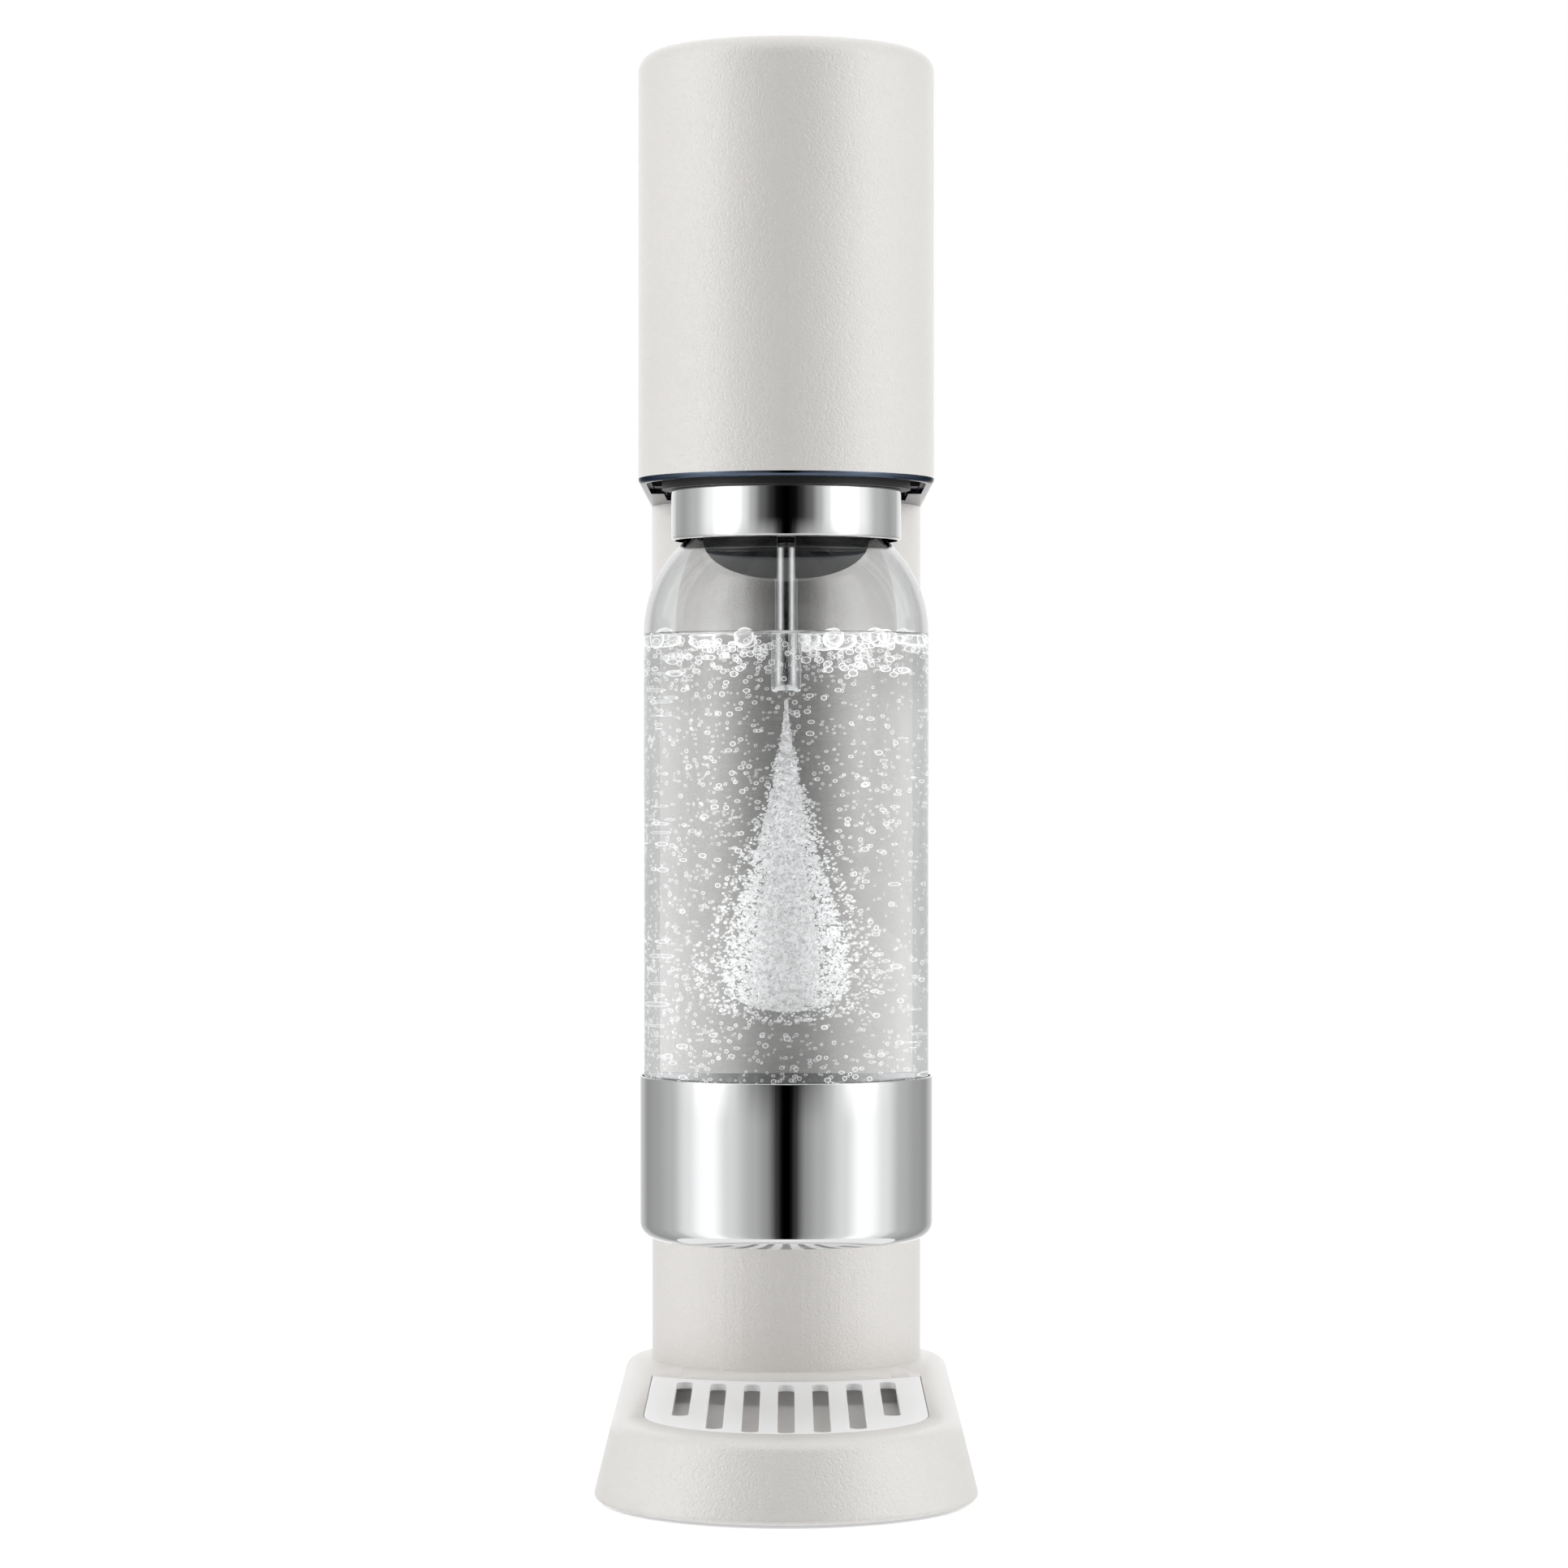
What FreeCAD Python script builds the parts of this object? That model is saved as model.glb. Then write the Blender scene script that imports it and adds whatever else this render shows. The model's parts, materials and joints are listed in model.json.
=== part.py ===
"""Countertop soda carbonator, as separate pieces, each written to parts/NAME.step.

Millimetres. The origin is on the floor at the middle of the footprint, +Z is up and the
bottle stands at the front, towards -Y.
"""

import FreeCAD, Part

import math
import operator
import os

import Sketcher

SIZES = {
    # plan of the machine
    "axis_gap": 129.0,
    "front_reach": 22.0,
    # bottle and its steel cup
    "bottle_radius": 42.4,
    "bottle_wall": 1.8,
    "bottle_base": 4.0,
    "body_rise": 176.2,
    "shoulder_rise": 34.0,
    "shoulder_inset": 28.0,
    "neck_inset": 13.9,
    "neck_rise": 8.0,
    "cup_wall": 0.8,
    "cup_height": 48.3,
    "cup_corner": 5.0,
    "cup_lip": 0.4,
    "pad_thick": 2.0,
    # base
    "base_height": 24.0,
    "foot_height": 1.0,
    "base_margin": 7.0,
    "base_flare": 5.7,
    "base_wall": 2.5,
    "base_deck": 5.0,
    "base_edge": 4.0,
    "base_foot_edge": 1.5,
    "plate_thick": 2.0,
    "under_bottle": 51.0,
    "foot_radius": 9.0,
    "screw_radius": 1.5,
    "screw_head": 3.0,
    # grille and tray
    "grille_forward": 14.5,
    "grille_behind": 23.5,
    "grille_thick": 2.0,
    "grille_gap": 0.35,
    "ledge": 3.0,
    "tray_wall": 1.0,
    "tray_depth": 4.6,
    "slot_width": 5.0,
    "slot_pitch": 10.45,
    "slot_behind": 7.5,
    "slot_reach_0": 40.0,
    "slot_reach_1": 38.2,
    "slot_reach_2": 31.0,
    "slot_reach_3": 2.5,
    # column, door and spine
    "head_margin": 1.6,
    "head_step": 0.5,
    "column_wall": 2.0,
    "spine_gap": 0.8,
    "spine_wall": 3.0,
    "door_gap": 0.4,
    # head
    "head_height": 128.0,
    "head_wall": 2.0,
    "head_edge": 6.0,
    "roof": 15.0,
    "trim_thick": 1.6,
    "trim_rim": 2.4,
    "trim_corner": 1.4,
    "mouth_gap": 3.0,
    "liner_wall": 1.0,
    "liner_height": 52.0,
    "rail_thick": 3.0,
    # bottle holder
    "collar_wall": 1.0,
    "collar_gap": 4.7,
    "collar_height": 15.1,
    "collar_edge": 0.8,
    "stopper_gap": 1.9,
    "stopper_drop": 25.0,
    "tube_radius": 3.35,
    "tube_drop": 59.0,
    "holder_margin": 2.8,
    "holder_height": 24.0,
    "pivot_behind": 46.0,
    "pivot_rise": 20.0,
    "pin_radius": 2.5,
    "run_fit": 0.06,
    # gas cylinder and valve
    "gas_inset": 12.4,
    "gas_neck": 12.0,
    "gas_wall": 2.0,
    "gas_travel": 5.0,
    "valve_radius": 13.0,
    "valve_height": 14.5,
    "lever_inner": 20.0,
    "lever_thick": 3.0,
    "lever_margin": 13.5,
    # button and rocker
    "button_inset": 13.0,
    "button_gap": 0.5,
    "button_travel": 8.0,
    "button_sunk": 0.4,
    "cap_thick": 3.0,
    "skirt_drop": 5.0,
    "housing_wall": 2.0,
    "rocker_width": 12.0,
    "rocker_thick": 5.0,
    "rocker_behind": 22.5,
    "rocker_under": 1.5,
}
SIDE_SLOTS = 3
STOPPER_STEPS = 10
FREE = 0.3


class Length:
    """A number together with the sheet expression that gives it."""

    def __init__(self, value, text=None):
        self.value = float(value)
        self.text = text or repr(float(value))

    def _join(self, other, sign, work, swap=False):
        other = as_length(other)
        left, right = (other, self) if swap else (self, other)
        return Length(work(left.value, right.value), f"({left.text} {sign} {right.text})")

    def __add__(self, other):
        return self._join(other, "+", operator.add)

    def __radd__(self, other):
        return self._join(other, "+", operator.add, swap=True)

    def __sub__(self, other):
        return self._join(other, "-", operator.sub)

    def __rsub__(self, other):
        return self._join(other, "-", operator.sub, swap=True)

    def __mul__(self, other):
        return self._join(other, "*", operator.mul)

    def __rmul__(self, other):
        return self._join(other, "*", operator.mul, swap=True)

    def __truediv__(self, other):
        return self._join(other, "/", operator.truediv)

    def __neg__(self):
        return 0 - self


def as_length(number):
    """Give any number as a Length."""
    return number if isinstance(number, Length) else Length(number)


def root(length):
    """The square root of a Length."""
    return Length(math.sqrt(length.value), f"sqrt({length.text})")


doc = FreeCAD.newDocument("carbonator")
sheet = doc.addObject("Spreadsheet::Sheet", "Sizes")
for row, (alias, size) in enumerate(SIZES.items(), start=1):
    sheet.set(f"A{row}", alias)
    sheet.set(f"B{row}", str(size))
    sheet.setAlias(f"B{row}", alias)
doc.recompute()


class Sheet:
    """The driving sizes, read back from the sheet by name."""

    def __getattr__(self, alias):
        return Length(sheet.get(alias), f"Sizes.{alias}")


S = Sheet()
nodes = []


def bind(thing, path, length):
    """Tie one property of an object to its expression."""
    length = as_length(length)
    thing.setExpression(path, length.text)


def place(thing, x=0, y=0, z=0, turn=None):
    """Put an object at a bound position, turned if asked."""
    rotation = turn or FreeCAD.Rotation()
    spot = FreeCAD.Vector(as_length(x).value, as_length(y).value, as_length(z).value)
    thing.Placement = FreeCAD.Placement(spot, rotation)
    for axis, size in zip("xyz", (x, y, z)):
        bind(thing, f"Placement.Base.{axis}", size)
    return thing


def keep(thing, name):
    """Name an object as a finished piece."""
    thing.Label = name
    nodes.append(thing)
    return thing


TO_X = FreeCAD.Rotation(FreeCAD.Vector(0, 1, 0), 90)
TO_FRONT = FreeCAD.Rotation(FreeCAD.Vector(1, 0, 0), 90)


def rod(radius, low, high, x=0, y=0):
    """An upright cylinder between two heights."""
    cylinder = doc.addObject("Part::Cylinder", "rod")
    bind(cylinder, "Radius", radius)
    bind(cylinder, "Height", high - low)
    return place(cylinder, x, y, low)


def rod_x(radius, left, right, y, z):
    """A cylinder lying across the machine between two x positions."""
    cylinder = doc.addObject("Part::Cylinder", "crossrod")
    bind(cylinder, "Radius", radius)
    bind(cylinder, "Height", right - left)
    return place(cylinder, left, y, z, TO_X)


def block(x, y, z):
    """A box given by its (low, high) pair on each axis."""
    box = doc.addObject("Part::Box", "block")
    for path, (low, high) in zip(("Length", "Width", "Height"), (x, y, z)):
        bind(box, path, high - low)
    return place(box, x[0], y[0], z[0])


def fuse(*shapes):
    """Join shapes into one."""
    if len(shapes) == 1:
        return shapes[0]
    joined = doc.addObject("Part::MultiFuse", "joined")
    joined.Shapes = list(shapes)
    return joined


def cut(base, *tools):
    """Take tools away from a base."""
    result = doc.addObject("Part::Cut", "cut")
    result.Base = base
    result.Tool = fuse(*tools)
    return result


def common(first, second):
    """What two shapes share."""
    result = doc.addObject("Part::Common", "common")
    result.Base = first
    result.Tool = second
    return result


def group(*shapes):
    """Several solids as one piece."""
    result = doc.addObject("Part::Compound", "group")
    result.Links = list(shapes)
    return result


def new_sketch(body, role):
    """An empty sketch on one of the body's own planes."""
    sketch = body.newObject("Sketcher::SketchObject", "outline")
    plane = [part for part in body.Origin.OriginFeatures if part.Role == role][0]
    sketch.AttachmentSupport = (plane, [""])
    sketch.MapMode = "FlatFace"
    return sketch


def constrain(sketch, kind, *where, size):
    """Add a bound dimension to a sketch."""
    size = as_length(size)
    index = sketch.addConstraint(Sketcher.Constraint(kind, *where, size.value))
    sketch.setExpression(f"Constraints[{index}]", size.text)


def draw_polygon(sketch, corners):
    """Draw a closed outline of straight lines whose corners are bound."""
    corners = [(as_length(u), as_length(v)) for u, v in corners]
    points = [FreeCAD.Vector(u.value, v.value, 0) for u, v in corners]
    count = len(points)
    for index in range(count):
        line = Part.LineSegment(points[index], points[(index + 1) % count])
        sketch.addGeometry(line, False)
    for index, (u, v) in enumerate(corners):
        follower = (index + 1) % count
        sketch.addConstraint(Sketcher.Constraint("Coincident", index, 2, follower, 1))
        constrain(sketch, "DistanceX", -1, 1, index, 1, size=u)
        constrain(sketch, "DistanceY", -1, 1, index, 1, size=v)


def lathe(corners, y=0, z=0):
    """Turn an outline of (radius, height) corners about an upright axis."""
    body = doc.addObject("PartDesign::Body", "turned")
    sketch = new_sketch(body, "XZ_Plane")
    draw_polygon(sketch, corners)
    turned = body.newObject("PartDesign::Revolution", "turn")
    turned.Profile = sketch
    turned.ReferenceAxis = (sketch, ["V_Axis"])
    turned.Angle = 360
    place(body, 0, y, z)
    return body


def ring(outer, inner, low, high, y=0):
    """A plain upright ring."""
    return lathe([(inner, low), (outer, low), (outer, high), (inner, high)], y)


def stadium(radius, front, rear, low, high, taper=0):
    """An upright round-ended block about two axes, narrowing upwards by its taper."""
    body = doc.addObject("PartDesign::Body", "stadium")
    sketch = new_sketch(body, "XY_Plane")
    radius, front, rear = as_length(radius), as_length(front), as_length(rear)
    upright = FreeCAD.Vector(0, 0, 1)
    corner = FreeCAD.Vector
    fore = Part.Circle(corner(0, front.value, 0), upright, radius.value)
    back = Part.Circle(corner(0, rear.value, 0), upright, radius.value)
    right = (corner(radius.value, front.value, 0), corner(radius.value, rear.value, 0))
    left = (corner(-radius.value, rear.value, 0), corner(-radius.value, front.value, 0))
    sketch.addGeometry(Part.ArcOfCircle(fore, math.pi, 2 * math.pi), False)
    sketch.addGeometry(Part.LineSegment(*right), False)
    sketch.addGeometry(Part.ArcOfCircle(back, 0, math.pi), False)
    sketch.addGeometry(Part.LineSegment(*left), False)
    for first, second in ((0, 1), (1, 2), (2, 3), (3, 0)):
        sketch.addConstraint(Sketcher.Constraint("Tangent", first, 2, second, 1))
    sketch.addConstraint(Sketcher.Constraint("Equal", 0, 2))
    for arc in (0, 2):
        sketch.addConstraint(Sketcher.Constraint("PointOnObject", arc, 3, -2))
    constrain(sketch, "Radius", 0, size=radius)
    constrain(sketch, "DistanceY", -1, 1, 0, 3, size=front)
    constrain(sketch, "DistanceY", -1, 1, 2, 3, size=rear)
    pad = body.newObject("PartDesign::Pad", "pad")
    pad.Profile = sketch
    bind(pad, "Length", high - low)
    if taper:
        taper = as_length(taper)
        slope = f"-1 * atan({taper.text} / {(high - low).text})"
        pad.TaperAngle = -math.degrees(math.atan(taper.value / (high - low).value))
        pad.setExpression("TaperAngle", slope)
    place(body, 0, 0, low)
    return body


def round_edges(body, radius, height):
    """Round the body's edges that lie flat at one height above its own plane."""
    doc.recompute()
    base = body.Tip
    level = as_length(height).value
    names = []
    for index, edge in enumerate(base.Shape.Edges, start=1):
        box = edge.BoundBox
        if abs(box.ZMin - level) < 0.01 and abs(box.ZMax - level) < 0.01:
            names.append(f"Edge{index}")
    fillet = body.newObject("PartDesign::Fillet", "rounding")
    fillet.Base = (base, names)
    bind(fillet, "Radius", radius)
    return body


# Shared positions
COLUMN = (S.axis_gap + S.front_reach) / 2
BOTTLE = COLUMN - S.axis_gap
LOBE = -COLUMN

# Shared radii
CUP = S.bottle_radius + S.cup_lip + S.cup_wall
HEAD = S.bottle_radius + S.head_margin
COLUMN_OUT = HEAD - S.head_step
COLUMN_IN = COLUMN_OUT - S.column_wall
HEAD_IN = HEAD - S.head_wall
BASE_TOP_R = HEAD + S.base_margin
BASE_LOW_R = BASE_TOP_R + S.base_flare
NECK = S.bottle_radius - S.neck_inset
NECK_IN = NECK - S.bottle_wall
STOPPER = NECK_IN - S.stopper_gap
COLLAR = NECK + S.collar_gap + S.collar_wall
GAS = S.bottle_radius - S.gas_inset
BUTTON = HEAD - S.button_inset

# How far back the head stays open underneath, and where its liner ends
NOTCH_BACK = COLUMN - COLUMN_OUT + 2.5
LINER_BACK = NOTCH_BACK - 4

# Shared heights
DECK = S.base_height
CUP_LOW = DECK + S.under_bottle
GLASS_LOW = CUP_LOW + S.cup_wall + S.pad_thick
SHOULDER = GLASS_LOW + S.body_rise
MOUTH = SHOULDER + S.shoulder_rise + S.neck_rise
HEAD_LOW = MOUTH + S.mouth_gap
HEAD_TOP = HEAD_LOW + S.head_height
ROOF_LOW = HEAD_TOP - S.head_wall
DOOR_TOP = HEAD_TOP - S.roof
TRIM_TOP = HEAD_LOW + S.trim_thick
PIVOT_Y = BOTTLE + S.pivot_behind
PIVOT_Z = HEAD_LOW + S.pivot_rise

# The button's stack, from the cap down to the valve block that the rocker must clear
CAP_TOP = HEAD_TOP - S.button_sunk
CAP_LOW = CAP_TOP - S.cap_thick
SKIRT_LOW = CAP_LOW - S.skirt_drop
FLOOR_TOP = SKIRT_LOW - S.button_travel - 0.5
FLOOR_LOW = FLOOR_TOP - S.housing_wall
ROCKER_TOP = FLOOR_LOW - S.rocker_under
ROCKER_LOW = ROCKER_TOP - S.rocker_thick
ROCKER_Y = COLUMN + S.rocker_behind
ROCKER_DIP = S.button_travel * (S.rocker_behind + S.valve_radius) / (ROCKER_Y - BOTTLE)
BLOCK_TOP = ROCKER_LOW - ROCKER_DIP - 0.25
BLOCK_LOW = BLOCK_TOP - S.valve_height


def grille_outline(inset, low, high):
    """The grille's plan: round at the front, hollow at the back around the column."""
    radius = S.bottle_radius - 0.2 - inset
    front_y = BOTTLE - S.grille_forward
    hollow = COLUMN_OUT + S.grille_behind + inset
    body = doc.addObject("PartDesign::Body", "grille_plan")
    sketch = new_sketch(body, "XY_Plane")
    upright = FreeCAD.Vector(0, 0, 1)
    half = math.asin(radius.value / hollow.value)
    rear_y = COLUMN.value - hollow.value * math.cos(half)
    nose = Part.Circle(FreeCAD.Vector(0, front_y.value, 0), upright, radius.value)
    back = Part.Circle(FreeCAD.Vector(0, COLUMN.value, 0), upright, hollow.value)
    down = -math.pi / 2
    right = [FreeCAD.Vector(radius.value, v, 0) for v in (front_y.value, rear_y)]
    left = [FreeCAD.Vector(-radius.value, v, 0) for v in (rear_y, front_y.value)]
    sketch.addGeometry(Part.ArcOfCircle(nose, math.pi, 2 * math.pi), False)
    sketch.addGeometry(Part.LineSegment(*right), False)
    sketch.addGeometry(Part.ArcOfCircle(back, down - half, down + half), False)
    sketch.addGeometry(Part.LineSegment(*left), False)
    sketch.addConstraint(
        [
            Sketcher.Constraint("Tangent", 0, 2, 1, 1),
            Sketcher.Constraint("Tangent", 3, 2, 0, 1),
            Sketcher.Constraint("Coincident", 1, 2, 2, 2),
            Sketcher.Constraint("Coincident", 2, 1, 3, 1),
            Sketcher.Constraint("PointOnObject", 0, 3, -2),
            Sketcher.Constraint("PointOnObject", 2, 3, -2),
            Sketcher.Constraint("Vertical", 1),
            Sketcher.Constraint("Vertical", 3),
        ]
    )
    constrain(sketch, "Radius", 0, size=radius)
    constrain(sketch, "Radius", 2, size=hollow)
    constrain(sketch, "DistanceY", -1, 1, 0, 3, size=front_y)
    constrain(sketch, "DistanceY", -1, 1, 2, 3, size=COLUMN)
    pad = body.newObject("PartDesign::Pad", "pad")
    pad.Profile = sketch
    bind(pad, "Length", high - low)
    place(body, 0, 0, low)
    return body


def build_base():
    """Shell with its screw bosses, bottom cover, ballast, feet and both sets of screws."""
    rise = DECK - S.foot_height
    shell = stadium(BASE_LOW_R, LOBE, COLUMN, S.foot_height, DECK, S.base_flare)
    round_edges(shell, S.base_edge, rise)
    round_edges(shell, S.base_foot_edge, 0)
    hollow_low = BASE_LOW_R - S.base_wall
    hollow_top = DECK - S.base_deck
    lean = S.base_flare * (hollow_top - S.foot_height) / rise
    hollow = stadium(hollow_low, LOBE, COLUMN, S.foot_height, hollow_top, lean)
    recess_low = DECK - S.grille_thick - S.tray_wall
    recess = grille_outline(as_length(0), recess_low, DECK + 1)
    well = grille_outline(S.ledge, hollow_top - 1, DECK + 1)
    opened = cut(shell, hollow, recess, well)

    plate_top = S.foot_height + S.plate_thick
    boss_x = S.bottle_radius + 2.4
    spots = [(side * boss_x, y) for side in (-1, 1) for y in (BOTTLE - 6, BOTTLE + 66)]
    bosses = [rod(S.screw_radius + 2.5, plate_top, hollow_top, x, y) for x, y in spots]
    screws = []
    for x, y in spots:
        head = rod(S.screw_head, S.foot_height, S.foot_height + 1.5, x, y)
        screws.append(fuse(head, rod(S.screw_radius, S.foot_height, hollow_top - 4, x, y)))

    anchor_r = COLUMN_IN - S.spine_gap - S.spine_wall / 2
    anchors = []
    for angle in (-60, 0, 60):
        x = anchor_r * math.sin(math.radians(angle))
        y = COLUMN - anchor_r * math.cos(math.radians(angle))
        head = rod(S.screw_head, hollow_top - 1.5, hollow_top, x, y)
        anchors.append(fuse(head, rod(S.spine_wall * 0.4, hollow_top - 1, DECK + 12, x, y)))
    anchor_set = keep(group(*anchors), "spine_screws")
    screw_set = keep(group(*screws), "base_screws")
    keep(cut(fuse(opened, *bosses), screw_set, anchor_set), "base_shell")

    cover_r = hollow_low - S.base_flare * S.plate_thick / rise - S.grille_gap
    cover = stadium(cover_r, LOBE, COLUMN, S.foot_height, plate_top)
    keep(cut(cover, screw_set), "base_plate")

    ballast_r = BASE_TOP_R - S.base_wall - S.base_edge
    ballast = ring(ballast_r, S.foot_radius, plate_top, hollow_top - 3, COLUMN)
    keep(ballast, "ballast_plate")

    reach = ballast_r * 0.66
    places = [(side * reach, y) for side in (-1, 1) for y in (LOBE, COLUMN)]
    places += [(Length(0), LOBE - reach), (Length(0), COLUMN + reach)]
    feet = [rod(S.foot_radius, Length(0), S.foot_height, x, y) for x, y in places]
    keep(group(*feet), "rubber_feet")
    return anchor_set


def build_grille():
    """The drip tray on the shell's ledge and the slotted grille on the tray's flange."""
    gap = S.grille_gap
    flange_low = DECK - S.grille_thick - S.tray_wall
    flange_top = DECK - S.grille_thick
    well_low = flange_low - S.tray_depth
    wall_in = S.ledge + gap + S.tray_wall
    flange = grille_outline(gap, flange_low, flange_top)
    well = grille_outline(S.ledge + gap, well_low, flange_top)
    hollow = grille_outline(wall_in, well_low + S.tray_wall, flange_top + 1)
    keep(cut(fuse(flange, well), hollow), "drip_tray")

    plate = grille_outline(gap, flange_top, DECK)
    nose_y = BOTTLE - S.grille_forward
    reaches = (S.slot_reach_0, S.slot_reach_1, S.slot_reach_2, S.slot_reach_3)
    rear_r = COLUMN_OUT + S.grille_behind + S.slot_behind
    half = S.slot_width / 2
    low, high = flange_top - 1, DECK + 1
    slots = []
    for step in range(-SIDE_SLOTS, SIDE_SLOTS + 1):
        x = step * S.slot_pitch
        front = nose_y - reaches[abs(step)] + half
        rear = COLUMN - root(rear_r * rear_r - x * x) - half
        slots.append(block((x - half, x + half), (front, rear), (low, high)))
        slots.append(rod(half, low, high, x, front))
        slots.append(rod(half, low, high, x, rear))
    keep(cut(plate, *slots), "drip_grille")


def half_ring(outer, inner, low, high, front, gap=0):
    """The front or rear half of a ring about the column's axis."""
    whole = ring(outer, inner, low, high, COLUMN)
    span = outer + 1
    ends = (COLUMN - span, COLUMN - gap) if front else (COLUMN + gap, COLUMN + span)
    return common(whole, block((-span, span), ends, (low - 1, high + 1)))


def build_column(anchor_set):
    """Front half tube, chassis, rear door, its magnets and the cylinder's rest."""
    keep(half_ring(COLUMN_OUT, COLUMN_IN, DECK, HEAD_LOW, front=True), "column_shell")

    spine_out = COLUMN_IN - S.spine_gap
    spine_in = spine_out - S.spine_wall
    spine = half_ring(spine_out, spine_in, DECK, HEAD_LOW, front=True, gap=S.door_gap)
    keep(cut(spine, anchor_set), "spine_frame")

    door_low = DECK + S.door_gap
    door_high = DOOR_TOP - S.door_gap
    door = half_ring(COLUMN_OUT, COLUMN_IN, door_low, door_high, False, S.door_gap)
    lip_low = door_high - S.column_wall
    lip = half_ring(COLUMN_OUT - 1, COLUMN_IN - 3, lip_low, door_high, False, S.door_gap)
    keep(fuse(door, lip), "rear_door")

    middle = (spine_out + spine_in) / 2
    size = S.spine_wall / 2 - 0.2
    magnets = []
    for side in (-1, 1):
        for height in (DECK + 40, HEAD_LOW - 40):
            x = side * middle
            span = (COLUMN - S.door_gap, COLUMN - S.door_gap + FREE)
            magnets.append(block((x - size, x + size), span, (height - 6, height + 6)))
    keep(group(*magnets), "door_magnets")

    keep(ring(GAS - 1, GAS - 12, DECK, DECK + 2, COLUMN), "cylinder_rest")


def build_head():
    """Head shell, mirror trim, inner frame, liner and the pins the holder tilts on."""
    shell = stadium(HEAD, BOTTLE, COLUMN, TRIM_TOP, HEAD_TOP)
    round_edges(shell, S.head_edge, HEAD_TOP - TRIM_TOP)
    hollow = stadium(HEAD_IN, BOTTLE, COLUMN, TRIM_TOP - 1, ROOF_LOW)
    round_edges(hollow, S.head_edge - S.head_wall, ROOF_LOW - TRIM_TOP + 1)
    wide = HEAD + 1
    doorway = block((-wide, wide), (COLUMN, COLUMN + wide), (TRIM_TOP - 1, DOOR_TOP))
    hole = rod(BUTTON + S.button_gap, ROOF_LOW - 1, HEAD_TOP + 1, 0, BOTTLE)
    keep(cut(shell, hollow, doorway, hole), "head_shell")

    trim = stadium(HEAD, BOTTLE, COLUMN, HEAD_LOW, TRIM_TOP)
    round_edges(trim, S.trim_corner, 0)
    opening_r = HEAD - S.trim_rim
    rear_half = opening_r - 4
    bay_back = PIVOT_Y + 5
    opening = stadium(opening_r, BOTTLE, bay_back - opening_r, HEAD_LOW - 1, TRIM_TOP + 1)
    flat = block((-opening_r, opening_r), (BOTTLE, bay_back), (HEAD_LOW - 1, TRIM_TOP + 1))
    notch = block((-rear_half, rear_half), (BOTTLE, NOTCH_BACK), (HEAD_LOW - 1, TRIM_TOP + 1))
    post = rod(COLUMN_IN, HEAD_LOW - 1, TRIM_TOP + 1, 0, COLUMN)
    rear = block((-wide, wide), (COLUMN, COLUMN + wide), (HEAD_LOW - 1, TRIM_TOP + 1))
    keep(cut(trim, opening, flat, notch, post, rear), "head_trim")

    frame_low = TRIM_TOP
    frame_top = frame_low + S.rail_thick
    slab = stadium(HEAD_IN - FREE, BOTTLE, COLUMN, frame_low, frame_top)
    bay = block((-wide, wide), (BOTTLE - wide, NOTCH_BACK), (frame_low - 1, frame_top + 1))
    rear = block((-wide, wide), (COLUMN - 1, COLUMN + wide), (frame_low - 1, frame_top + 1))
    well = rod(GAS + 3, frame_low - 1, frame_top + 1, 0, COLUMN)
    rail_out = HEAD_IN - FREE - S.liner_wall - FREE
    rail_in = rail_out - S.rail_thick
    rails = []
    holes = []
    for side in (-1, 1):
        x = (rail_in, rail_out) if side > 0 else (-rail_out, -rail_in)
        y = (PIVOT_Y - 8, COLUMN - 20)
        rails.append(block(x, y, (frame_low, PIVOT_Z + 8)))
        holes.append(rod_x(S.pin_radius, x[0] - 1, x[1] + 1, PIVOT_Y, PIVOT_Z))
    slab_cut = cut(slab, bay, rear, well)
    keep(cut(fuse(slab_cut, *rails), *holes), "head_frame")

    ear_in = rail_in - 6
    pins = []
    for side in (-1, 1):
        x = (ear_in - 1, rail_out) if side > 0 else (-rail_out, 1 - ear_in)
        pins.append(rod_x(S.pin_radius, x[0], x[1], PIVOT_Y, PIVOT_Z))
    keep(group(*pins), "tilt_pins")

    liner_out = HEAD_IN - FREE
    liner_in = liner_out - S.liner_wall
    liner_top = TRIM_TOP + S.liner_height
    outer = stadium(liner_out, BOTTLE, COLUMN, TRIM_TOP, liner_top)
    inner = stadium(liner_in, BOTTLE, COLUMN, TRIM_TOP - 1, liner_top - S.liner_wall)
    back = block((-wide, wide), (LINER_BACK, COLUMN + wide), (TRIM_TOP - 1, liner_top + 1))
    keep(cut(outer, inner, back), "head_liner")
    return rail_in, ear_in - 1


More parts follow.
